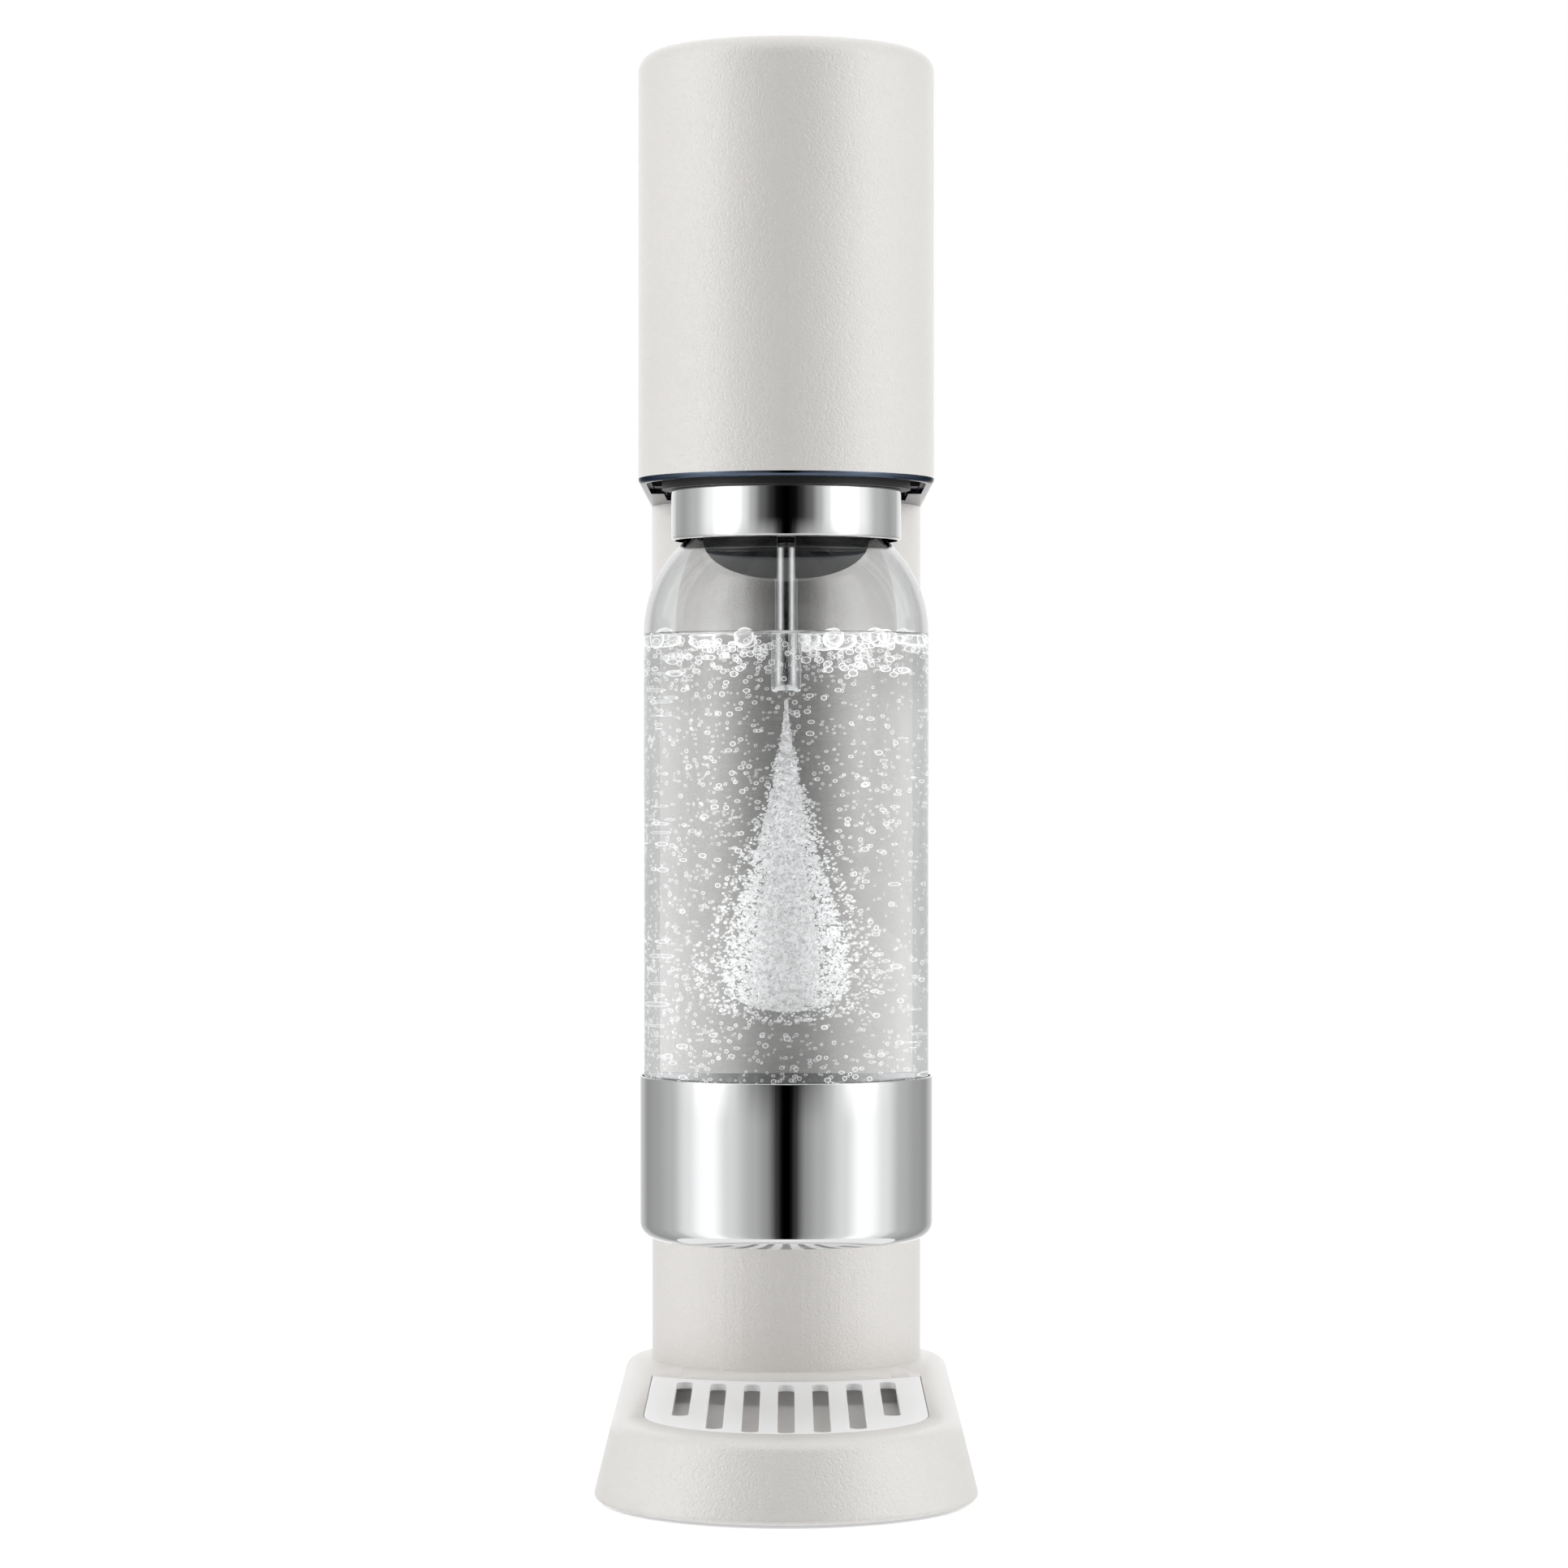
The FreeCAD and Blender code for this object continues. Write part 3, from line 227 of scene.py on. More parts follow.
class EffectGroups:
    """The shader effects that several finishes share, each built once.

    Lengths are in metres; the clear wall's painted shade, a dark band, is widest on the machine's axis.
    """

    WARP: ClassVar[float] = 0.0006
    RIDGE_SLOPE: ClassVar[float] = 3.2
    RIDGE_SOFTNESS: ClassVar[float] = 1.6
    TONE_SCALE: ClassVar[float] = 14.0
    SPECK_LEVEL: ClassVar[float] = 0.72
    # Painted shade band on the clear wall: BAND_CORE and BAND_EDGE bound it across the axis, BAND_LEAST
    # is its least strength, FLANK_SHADE the shade on the sides above the water.
    BAND_CORE: ClassVar[float] = 0.003
    BAND_EDGE: ClassVar[float] = 0.018
    BAND_LEAST: ClassVar[float] = 0.85
    FLANK_SHADE: ClassVar[float] = 0.3

    def __init__(self) -> None:
        """Build every group."""
        self.grain = self._grain()
        self.wear = self._wear()
        # Painted shade for the clear bottle wall.
        self.depth = self._painted_band()

    def _grain(self) -> bpy.types.NodeTree:
        """Wormy powder-coat or moulded grain: Height for a Bump, Tone for colour."""
        group, given, result = group_shell(
            "fine_grain", {"Scale": 900.0}, ("Height", "Tone")
        )
        links = group.links
        warp = group.nodes.new("ShaderNodeTexNoise")
        links.new(given.outputs["Position"], warp.inputs["Vector"])
        links.new(given.outputs["Scale"], warp.inputs["Scale"])
        warp.inputs["Detail"].default_value = 1.0
        shift = group.nodes.new("ShaderNodeVectorMath")
        shift.operation = "SCALE"
        links.new(warp.outputs["Color"], shift.inputs[0])
        shift.inputs["Scale"].default_value = self.WARP
        moved = group.nodes.new("ShaderNodeVectorMath")
        moved.operation = "ADD"
        links.new(given.outputs["Position"], moved.inputs[0])
        links.new(shift.outputs[0], moved.inputs[1])
        ridged = noise(group, moved.outputs[0], given.outputs["Scale"], 2.5, 0.55)
        centred = math_node(group, "SUBTRACT", ridged, 0.5)
        ridge = math_node(group, "ABSOLUTE", centred)
        fallen = math_node(group, "MULTIPLY", ridge, self.RIDGE_SLOPE)
        lifted = math_node(group, "SUBTRACT", 1.0, fallen)
        raised = math_node(group, "MAXIMUM", lifted, 0.0)
        soft = math_node(group, "POWER", raised, self.RIDGE_SOFTNESS)
        broad = noise(group, given.outputs["Position"], self.TONE_SCALE)
        links.new(soft, result.inputs["Height"])
        links.new(broad, result.inputs["Tone"])
        return group

    def _wear(self) -> bpy.types.NodeTree:
        """Handling marks and dust: Smudge in patches, Speck in points."""
        group, given, result = group_shell(
            "handling_wear", {"Patch Scale": 40.0, "Speck Scale": 1400.0}, ("Smudge", "Speck")
        )
        patch = noise(group, given.outputs["Position"], given.outputs["Patch Scale"], 4.0, 0.6)
        fine = noise(group, given.outputs["Position"], given.outputs["Speck Scale"], 1.0)
        speck = math_node(group, "GREATER_THAN", fine, self.SPECK_LEVEL)
        group.links.new(patch, result.inputs["Smudge"])
        group.links.new(speck, result.inputs["Speck"])
        return group

    def _painted_band(self) -> bpy.types.NodeTree:
        """Painted shade for a round clear wall: the output is low in a soft upright band on the axis,
        lowest above the water and at the foot, and 1 at the sides, which are shaded a little above the
        water.
        """
        group, given, result = group_shell(
            "painted_wall_shade", {"Air Low": 0.225, "Air High": 0.25, "Foot Low": 0.125,
                           "Foot High": 0.158}, ("Unshaded",)
        )
        parts = group.nodes.new("ShaderNodeSeparateXYZ")
        group.links.new(given.outputs["Position"], parts.inputs[0])
        away = math_node(group, "ABSOLUTE", parts.outputs["X"])
        core = eased(group, away, self.BAND_CORE, self.BAND_EDGE)
        height = parts.outputs["Z"]
        air = eased(group, height, given.outputs["Air Low"], given.outputs["Air High"])
        foot = eased(group, height, given.outputs["Foot High"], given.outputs["Foot Low"])
        ends = math_node(group, "MAXIMUM", math_node(group, "MAXIMUM", air, foot), self.BAND_LEAST)
        flank = math_node(group, "MULTIPLY", air, self.FLANK_SHADE)
        dark = math_node(group, "SUBTRACT", 1.0, core)
        shade = math_node(group, "MAXIMUM", math_node(group, "MULTIPLY", dark, ends), flank)
        group.links.new(math_node(group, "SUBTRACT", 1.0, shade), result.inputs["Unshaded"])
        return group


def eased(tree: bpy.types.NodeTree, value: Socket, low: float | Socket,
          high: float | Socket) -> Socket:
    """Ease a socket from 0 at one bound to 1 at the other.

    Args:
        tree: The tree to add to.
        value: The socket to ease.
        low: Where the result is 0.
        high: Where the result is 1.

    Returns:
        The result socket.
    """
    node = tree.nodes.new("ShaderNodeMapRange")
    node.interpolation_type = "SMOOTHSTEP"
    tree.links.new(value, node.inputs["Value"])
    for name, bound in (("From Min", low), ("From Max", high)):
        if isinstance(bound, Socket):
            tree.links.new(bound, node.inputs[name])
        else:
            node.inputs[name].default_value = bound
    return node.outputs["Result"]


def ranged(tree: bpy.types.NodeTree, value: Socket, low: float, high: float) -> Socket:
    """Map a 0 to 1 socket to a range.

    Args:
        tree: The tree to add to.
        value: The socket to map.
        low: Result at 0.
        high: Result at 1.

    Returns:
        The result socket.
    """
    node = tree.nodes.new("ShaderNodeMapRange")
    tree.links.new(value, node.inputs["Value"])
    node.inputs["To Min"].default_value = low
    node.inputs["To Max"].default_value = high
    return node.outputs["Result"]


def toned(tree: bpy.types.NodeTree, value: Socket, dark: Sequence[float],
          light: Sequence[float]) -> Socket:
    """Blend two colours by a 0 to 1 socket.

    Args:
        tree: The tree to add to.
        value: The socket that blends.
        dark: Colour at 0.
        light: Colour at 1.

    Returns:
        The colour socket.
    """
    node = tree.nodes.new("ShaderNodeMix")
    node.data_type = "RGBA"
    tree.links.new(value, node.inputs["Factor"])
    node.inputs["A"].default_value = (*dark, 1.0)
    node.inputs["B"].default_value = (*light, 1.0)
    return node.outputs["Result"]


def bumped(tree: bpy.types.NodeTree, shader: bpy.types.Node, height: Socket,
           depth: float) -> None:
    """Feed a height socket to a shader's Normal through a Bump node.

    Args:
        tree: The material's node tree.
        shader: The shader to bump.
        height: The height socket.
        depth: How deep the relief is.
    """
    bump = tree.nodes.new("ShaderNodeBump")
    bump.inputs["Distance"].default_value = depth
    bump.inputs["Strength"].default_value = 1.0
    tree.links.new(height, bump.inputs["Height"])
    tree.links.new(bump.outputs["Normal"], shader.inputs["Normal"])


@dataclass(frozen=True)
class GrainyFinish:
    """A painted or moulded finish with a fine raised grain."""

    name: str
    colour: tuple[float, float, float]
    rough: float
    grain_scale: float
    grain_depth: float
    tone_share: float = 0.04
    coat: float = 0.0
    shine: float = 0.5
    polished: float = 0.05
    dulled: float = 0.07

    def make(self, groups: EffectGroups) -> bpy.types.Material:
        """Build the material.

        Args:
            groups: The shared effects.

        Returns:
            The finished material.
        """
        material, tree, shader = new_material(self.name)
        grain = add_group(tree, groups.grain, Scale=self.grain_scale)
        wear = add_group(tree, groups.wear)
        dark = tuple(c * (1 - self.tone_share) for c in self.colour)
        light = tuple(min(1.0, c * (1 + self.tone_share)) for c in self.colour)
        shade = toned(tree, grain.outputs["Tone"], dark, light)
        tree.links.new(shade, shader.inputs["Base Color"])
        rough = ranged(tree, wear.outputs["Smudge"], self.rough - self.polished,
                       self.rough + self.dulled)
        tree.links.new(rough, shader.inputs["Roughness"])
        shader.inputs["Coat Weight"].default_value = self.coat
        shader.inputs["Coat Roughness"].default_value = self.rough
        shader.inputs["Specular IOR Level"].default_value = self.shine
        bumped(tree, shader, grain.outputs["Height"], self.grain_depth)
        return material


@dataclass(frozen=True)
class MetalFinish:
    """A bare or plated metal."""

    name: str
    colour: tuple[float, float, float]
    rough: float
    smudge: float = 0.03
    brushed: float = 0.0
    edge: float = 1.0
    smudge_scale: float = 25.0
    smudge_shade: float = 0.97
    brush_scale: float = 1500.0

    def make(self, groups: EffectGroups) -> bpy.types.Material:
        """Build the material.

        Args:
            groups: The shared effects.

        Returns:
            The finished material.
        """
        material, tree, shader = new_material(self.name)
        wear = add_group(tree, groups.wear, Patch_Scale=self.smudge_scale)
        shader.inputs["Metallic"].default_value = 1.0
        shader.inputs["Specular Tint"].default_value = (self.edge, self.edge, self.edge, 1.0)
        dark = tuple(c * self.smudge_shade for c in self.colour)
        tree.links.new(
            toned(tree, wear.outputs["Smudge"], dark, self.colour), shader.inputs["Base Color"]
        )
        rough = ranged(tree, wear.outputs["Smudge"], max(0.0, self.rough - self.smudge),
                       self.rough + self.smudge)
        tree.links.new(rough, shader.inputs["Roughness"])
        if self.brushed:
            grain = add_group(tree, groups.grain, Scale=self.brush_scale)
            bumped(tree, shader, grain.outputs["Height"], self.brushed)
        return material


@dataclass(frozen=True)
class ClearFinish:
    """A clear material: bottle wall, water or the air in a bubble."""

    name: str
    colour: tuple[float, float, float]
    ior: float
    rough: float = 0.0
    wave: float = 0.0
    # Painted shade: below 1, the base colour darkens to this share in an upright band on the axis.
    core: float = 1.0
    # Painted glow: emission strength that lets the clear material light itself.
    painted_glow: float = 0.0
    wave_scale: float = 30.0

    def make(self, groups: EffectGroups) -> bpy.types.Material:
        """Build the material.

        Args:
            groups: The shared effects.

        Returns:
            The finished material.
        """
        material, tree, shader = new_material(self.name)
        shader.inputs["Base Color"].default_value = (*self.colour, 1.0)
        # Painted shade: the base colour darkens to core times the colour in an upright band on the axis,
        # for the darker view through the bottle.
        if self.core < 1.0:
            depth = add_group(tree, groups.depth)
            dark = tuple(c * self.core for c in self.colour)
            shade = toned(tree, depth.outputs["Unshaded"], dark, self.colour)
            tree.links.new(shade, shader.inputs["Base Color"])
        shader.inputs["Roughness"].default_value = self.rough
        shader.inputs["IOR"].default_value = self.ior
        shader.inputs["Transmission Weight"].default_value = 1.0
        # Painted glow: white emission on the clear material.
        shader.inputs["Emission Color"].default_value = (1.0, 1.0, 1.0, 1.0)
        shader.inputs["Emission Strength"].default_value = self.painted_glow
        if self.wave:
            place = tree.nodes.new("ShaderNodeTexCoord")
            ripple = noise(tree, place.outputs["Object"], self.wave_scale, 1.0)
            bumped(tree, shader, ripple, self.wave)
        return material


@dataclass(frozen=True)
class FoamFinish:
    """Packed small bubbles, drawn white with a painted glow (emission) in place of the light they
    scatter.
    """

    name: str
    colour: tuple[float, float, float]
    painted_glow: float
    fleck: float = 0.68
    fleck_scale: float = 700.0
    fleck_low: float = 0.38
    fleck_high: float = 0.58
    rough: float = 0.15
    ior: float = 1.33

    def make(self, groups: EffectGroups) -> bpy.types.Material:
        """Build the material.

        Args:
            groups: The shared effects.

        Returns:
            The finished material.
        """
        material, tree, shader = new_material(self.name)
        # Painted glow: the foam lights itself with emission, toned by the same flecks as its colour.
        shader.inputs["Emission Strength"].default_value = self.painted_glow
        wear = add_group(tree, groups.wear, Patch_Scale=self.fleck_scale)
        fleck = eased(tree, wear.outputs["Smudge"], self.fleck_low, self.fleck_high)
        dark = tuple(c * self.fleck for c in self.colour)
        shade = toned(tree, fleck, dark, self.colour)
        tree.links.new(shade, shader.inputs["Base Color"])
        tree.links.new(shade, shader.inputs["Emission Color"])
        shader.inputs["Roughness"].default_value = self.rough
        shader.inputs["IOR"].default_value = self.ior
        return material


@dataclass(frozen=True)
class BubbleFinish:
    """A single bubble: a painted bright rim, glowing and opaque towards its outline, round a clear
    middle.
    """

    name: str
    colour: tuple[float, float, float]
    painted_glow: float
    rough: float = 0.08
    middle: float = 0.06
    edge: float = 0.9
    rim_start: float = 0.2
    rim_full: float = 0.7

    def make(self) -> bpy.types.Material:
        """Build the material.

        Returns:
            The finished material.
        """
        material, tree, shader = new_material(self.name)
        shader.inputs["Base Color"].default_value = (*self.colour, 1.0)
        shader.inputs["Roughness"].default_value = self.rough
        # Painted glow: white emission, so the bubble shines with no lamp on it.
        shader.inputs["Emission Color"].default_value = (*self.colour, 1.0)
        shader.inputs["Emission Strength"].default_value = self.painted_glow
        # Painted highlight: the bubble turns opaque and bright towards its outline, a rim where a real
        # bubble's edge would catch the light.
        weight = tree.nodes.new("ShaderNodeLayerWeight")
        weight.inputs["Blend"].default_value = 0.5
        rim = eased(tree, weight.outputs["Facing"], self.rim_start, self.rim_full)
        tree.links.new(ranged(tree, rim, self.middle, self.edge), shader.inputs["Alpha"])
        return material


class Finishes:
    """Every material of the machine, by slot."""

    SLOTS: ClassVar[dict[Slot, GrainyFinish | MetalFinish | ClearFinish]] = {
        Slot.SHELL: GrainyFinish("powder_coat_white", (0.795, 0.772, 0.744), 0.34, 800.0, 0.00014,
                                 coat=1.0, shine=1.0),
        Slot.STEEL: MetalFinish("mirror_steel", (0.80, 0.805, 0.81), 0.05, 0.02),
        # Painted reflection: the mirror trim's near-black blue colour and dark edge tint stand in for
        # the dark surroundings it reflects.
        Slot.TRIM: MetalFinish("mirror_trim_painted_dark", (0.10, 0.125, 0.17), 0.08, 0.02, edge=0.3),
        Slot.GRILLE: GrainyFinish("grille_plate", (0.93, 0.93, 0.935), 0.3, 1400.0, 0.00001, 0.01),
        Slot.TRAY: GrainyFinish("tray_moulding", (0.90, 0.88, 0.86), 0.5, 1200.0, 0.00004),
        Slot.DARK: GrainyFinish("dark_moulding", (0.018, 0.018, 0.02), 0.42, 1500.0, 0.00003),
        Slot.GREY: GrainyFinish("grey_moulding", (0.22, 0.225, 0.23), 0.45, 1300.0, 0.00004),
        Slot.RUBBER: GrainyFinish("black_rubber", (0.02, 0.02, 0.02), 0.75, 1800.0, 0.00004),
        Slot.ZINC: MetalFinish("zinc_plate", (0.58, 0.59, 0.60), 0.32, 0.08, 0.00001),
        Slot.BRASS: MetalFinish("machined_brass", (0.75, 0.58, 0.28), 0.25, 0.06, 0.00001),
        Slot.GAS: MetalFinish("anodised_cylinder", (0.52, 0.55, 0.60), 0.34, 0.05, 0.00002),
        Slot.RELEASE: GrainyFinish("release_blue", (0.06, 0.20, 0.36), 0.3, 1600.0, 0.00002),
        Slot.WEIGHT: GrainyFinish("cast_weight", (0.10, 0.10, 0.10), 0.7, 500.0, 0.0002),
        # Painted shade: core=0.57 darkens the bottle wall's colour in an upright band on the axis.
        Slot.GLASS: ClearFinish("bottle_wall", (0.957, 0.962, 0.963), 1.47, wave=0.00002, core=0.57),
    }

    def __init__(self) -> None:
        """Make each material once."""
        groups = EffectGroups()
        self.by_slot = {slot: finish.make(groups) for slot, finish in self.SLOTS.items()}
        # Painted glow: the water, the bubble rims and the foam carry white emission; the bubble rims are
        # a painted highlight as well.
        self.water = ClearFinish("water", (0.968, 0.972, 0.974), 1.33, painted_glow=0.04).make(groups)
        self.bubble = BubbleFinish("painted_bubble_rim", (1.0, 1.0, 1.0), 0.8).make()
        self.foam = FoamFinish("plume_foam", (0.98, 0.985, 0.99), 0.46).make(groups)

    def of(self, slot: Slot) -> bpy.types.Material:
        """Look up the material of one slot.

        Args:
            slot: The slot.

        Returns:
            Its material.
        """
        return self.by_slot[slot]


# ----------------------------------------------------------------------------- mesh tools


def ring_section(inner: float, outer: float, low: float, high: float) -> Profile:
    """The square section of a ring or tube.

    Args:
        inner: Inner radius.
        outer: Outer radius.
        low: Height of its underside.
        high: Height of its top.

    Returns:
        Four corners, from the inner low one round by the outer side.
    """
    return [(inner, low), (outer, low), (outer, high), (inner, high)]


def rounded(points: Profile, radii: dict[int, float], steps: int = 6) -> Profile:
    """Round chosen corners of a profile with arcs.

    Args:
        points: The profile's corners.
        radii: Corner index to rounding radius.
        steps: Segments in each arc.

    Returns:
        The profile with its arcs.
    """
    result: Profile = []
    count = len(points)
    for index, point in enumerate(points):
        radius = radii.get(index)
        if not radius:
            result.append(point)
            continue
        here = Vector(point)
        before = (Vector(points[index - 1]) - here).normalized()
        after = (Vector(points[(index + 1) % count]) - here).normalized()
        angle = before.angle(after)
        reach = radius / math.tan(angle / 2)
        centre = here + (before + after).normalized() * (radius / math.sin(angle / 2))
        first = here + before * reach - centre
        last = here + after * reach - centre
        sweep = math.atan2(first.x * last.y - first.y * last.x, first.dot(last))
        for step in range(steps + 1):
            turn = sweep * step / steps
            x = first.x * math.cos(turn) - first.y * math.sin(turn)
            y = first.x * math.sin(turn) + first.y * math.cos(turn)
            result.append((centre.x + x, centre.y + y))
    return result


def finish_mesh(name: str, mesh_in: bmesh.types.BMesh, material: bpy.types.Material,
                sharp: float = 35.0) -> bpy.types.Object:
    """Turn a bmesh into a linked object with smooth faces and sharp corners.

    Args:
        name: The piece's name.
        mesh_in: The geometry, which is freed.
        material: Its material.
        sharp: Edges that bend more than this many degrees stay sharp.

    Returns:
        The object.
    """
    bmesh.ops.remove_doubles(mesh_in, verts=mesh_in.verts, dist=1e-7)
    bmesh.ops.recalc_face_normals(mesh_in, faces=mesh_in.faces)
    mesh = bpy.data.meshes.new(name)
    mesh_in.to_mesh(mesh)
    mesh_in.free()
    mesh.materials.append(material)
    mesh.shade_smooth()
    mesh.set_sharp_from_angle(angle=math.radians(sharp))
    piece = bpy.data.objects.new(name, mesh)
    bpy.context.scene.collection.objects.link(piece)
    return piece


def turned(name: str, profile: Profile, centre: Vector, material: bpy.types.Material,
           closed: bool = True, segments: int = 160) -> bpy.types.Object:
    """Turn a profile of (radius, height) about an upright axis.

    Args:
        name: The piece's name.
        profile: Its outline; points on the axis become poles.
        centre: A point on the axis, whose height is added.
        material: Its material.
        closed: Whether the last point joins the first.
        segments: Steps round the axis.

    Returns:
        The turned piece.
    """
    built = bmesh.new()
    rings = []
    for radius, height in profile:
        if radius < 1e-7:
            rings.append([built.verts.new((centre.x, centre.y, centre.z + height))])
            continue
        ring = []
        for step in range(segments):
            angle = 2 * math.pi * step / segments
            spot = (centre.x + radius * math.cos(angle), centre.y + radius * math.sin(angle),
                    centre.z + height)
            ring.append(built.verts.new(spot))
        rings.append(ring)
    pairs = list(zip(rings, rings[1:]))
    if closed:
        pairs.append((rings[-1], rings[0]))
    for low, high in pairs:
        for step in range(segments):
            follow = (step + 1) % segments
            corners = [low[step % len(low)], low[follow % len(low)],
                       high[follow % len(high)], high[step % len(high)]]
            unique = list(dict.fromkeys(corners))
            if len(unique) > 2:
                built.faces.new(unique)
    return finish_mesh(name, built, material)


def settle(piece: bpy.types.Object, body: str, nodes: Iterable[str] = ()) -> bpy.types.Object:
    """Fix a piece to its body and hide the CAD nodes it stands for.

    Args:
        piece: The finished piece.
        body: The frame's body it moves with.
        nodes: CAD nodes that it replaces.

    Returns:
        The same piece.
    """
    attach(piece, body)
    if nodes:
        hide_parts(*nodes)
    LOG.info("%s on %s: %d faces", piece.name, body, len(piece.data.polygons))
    return piece


# ------------------------------------------------------------------------- sub-assemblies


@dataclass
class SubAssembly:
    """Shared behaviour of the machine's sub-assemblies."""

    frame: dict
    finishes: Finishes

    CREASE: ClassVar[float] = 28.0

    def copied(self, node: str, body: str, slot: Slot) -> bpy.types.Object:
        """Give one CAD node a smooth-shaded welded copy in its finish.

        Args:
            node: The node's name.
            body: The body it belongs to.
            slot: The finish's slot.

        Returns:
            The copy, settled on its body.
        """
        welded = bmesh.new()
        welded.from_mesh(self.frame["nodes"][node].data)
        piece = finish_mesh(f"{node}_finish", welded, self.finishes.of(slot), self.CREASE)
        return settle(piece, body, (node,))

    def dress(self, body: str, slot: Slot, *nodes: str) -> None:
        """Give CAD nodes of one body the same finish.

        Args:
            body: The body the nodes belong to.
            slot: The finish's slot.
            nodes: The nodes' names.
        """
        for node in nodes:
            self.copied(node, body, slot)

    def spring(self, node: str, joint: str, axis: int, travel: float) -> None:
        """Dress a return spring in zinc and give it a mesh of its own; its anchor at the low end is
        found, but nothing flattens it.

        Args:
            node: The spring's node.
            joint: The joint that would squeeze it; not used.
            axis: Index of the axis it lies along.
            travel: How far the joint would squeeze it; not used.
        """
        piece = self.copied(node, "machine", Slot.ZINC)
        low, high = (Vector(corner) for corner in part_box(node))
        anchor = (low + high) / 2
        anchor[axis] = low[axis]
        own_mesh(piece)


@dataclass
class Base(SubAssembly):
    """The flared base with its grille, tray, feet and inner weight."""

    def build(self) -> None:
        """Dress every piece of the base."""
        self.dress("machine", Slot.SHELL, "base_shell")
        self.dress("machine", Slot.DARK, "base_plate")
        self.dress("machine", Slot.RUBBER, "rubber_feet", "cylinder_rest")
        self.dress("machine", Slot.ZINC, "base_screws", "spine_screws")
        self.dress("machine", Slot.WEIGHT, "ballast_plate")
        self.dress("tray", Slot.TRAY, "drip_tray")
        self.dress("grille", Slot.GRILLE, "drip_grille")


@dataclass
class Column(SubAssembly):
    """The round column, its chassis and the rear door."""

    def build(self) -> None:
        """Dress every piece of the column."""
        self.dress("machine", Slot.SHELL, "column_shell")
        self.dress("door", Slot.SHELL, "rear_door")
        self.dress("machine", Slot.GREY, "spine_frame")
        self.dress("machine", Slot.ZINC, "door_magnets")


@dataclass
class Head(SubAssembly):
    """The head's shell, trim, inner frame and push button."""

    button_travel: float = 8.0 * MM

    def build(self) -> None:
        """Dress every piece of the head."""
        self.dress("machine", Slot.SHELL, "head_shell")
        self.dress("button", Slot.SHELL, "button")
        self.dress("machine", Slot.TRIM, "head_trim")
        self.dress("machine", Slot.DARK, "head_frame", "head_liner")
        self.dress("machine", Slot.GREY, "button_housing", "rocker_hangers")
        self.dress("rocker", Slot.GREY, "rocker")
        self.dress("machine", Slot.ZINC, "rocker_pin", "tilt_pins")
        self.dress("valve_pin", Slot.ZINC, "valve_pin")
        self.spring("button_spring", "button_press", 2, self.button_travel)


@dataclass
class GasSystem(SubAssembly):
    """Gas cylinder, valve group, release lever and hose."""

    relief_travel: float = 1.5 * MM

    def build(self) -> None:
        """Dress every piece of the gas system."""
        self.dress("gas", Slot.GAS, "gas_cylinder")
        self.dress("gas", Slot.BRASS, "cylinder_valve")
        self.dress("gas", Slot.RELEASE, "cylinder_collar")
        self.dress("lever", Slot.RELEASE, "release_lever")
        self.dress("machine", Slot.BRASS, "valve_block", "relief_body", "hose_fitting", "hose_elbow")
        self.dress("poppet", Slot.BRASS, "relief_poppet")
        self.dress("machine", Slot.RUBBER, "valve_seal", "gas_hose")
        self.dress("machine", Slot.ZINC, "valve_bridge", "lever_bracket", "lever_pins")
        self.spring("relief_spring", "relief_lift", 1, self.relief_travel)


@dataclass
class Holder(SubAssembly):
    """The tilting bottle holder with its collar, stopper and nozzle."""

    collar_wall: float = 1.0 * MM
    collar_foot_round: float = 0.95 * MM
    collar_top_round: float = 0.3 * MM
    tube_wall: float = 0.8 * MM
    tip_bore: float = 0.6 * MM
    tip_round: float = 1.0 * MM

    def build(self) -> None:
        """Build the polished pieces and dress the others."""
        self.dress("holder", Slot.DARK, "holder_ring", "stopper")
        self.dress("holder", Slot.RUBBER, "bottle_seal")
        self.dress("holder", Slot.ZINC, "holder_pipe")
        self.collar()
        self.nozzle()

    def axis(self, node: str) -> tuple[Vector, Vector, Vector]:
        """The axis point at the floor of a node's box, and the box itself.

        Args:
            node: The node's name.

        Returns:
            Axis point at height 0, low corner, high corner.
        """
        low, high = (Vector(corner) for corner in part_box(node))
        middle = (low + high) / 2
        return Vector((middle.x, middle.y, 0)), low, high

    def collar(self) -> None:
        """The mirror-polished ring round the bottle's neck."""
        centre, low, high = self.axis("collar")
        radius = (high.x - low.x) / 2
        section = ring_section(radius - self.collar_wall, radius, low.z, high.z)
        profile = rounded(section, {1: self.collar_foot_round, 2: self.collar_top_round})
        piece = turned("collar_steel", profile, centre, self.finishes.of(Slot.STEEL), segments=256)
        settle(piece, "holder", ("collar",))

    def nozzle(self) -> None:
        """The steel tube into the water and its tip."""
        steel = self.finishes.of(Slot.STEEL)
        centre, low, high = self.axis("nozzle_tube")
        radius = (high.x - low.x) / 2
        section = ring_section(radius - self.tube_wall, radius, low.z, high.z)
        piece = turned("nozzle_tube_steel", section, centre, steel, segments=64)
        settle(piece, "holder", ("nozzle_tube",))
        centre, low, high = self.axis("nozzle_tip")
        section = ring_section(self.tip_bore, radius, low.z, high.z)
        profile = rounded(section, {1: self.tip_round})
        piece = turned("nozzle_tip_steel", profile, centre, steel, segments=64)
        settle(piece, "holder", ("nozzle_tip",))


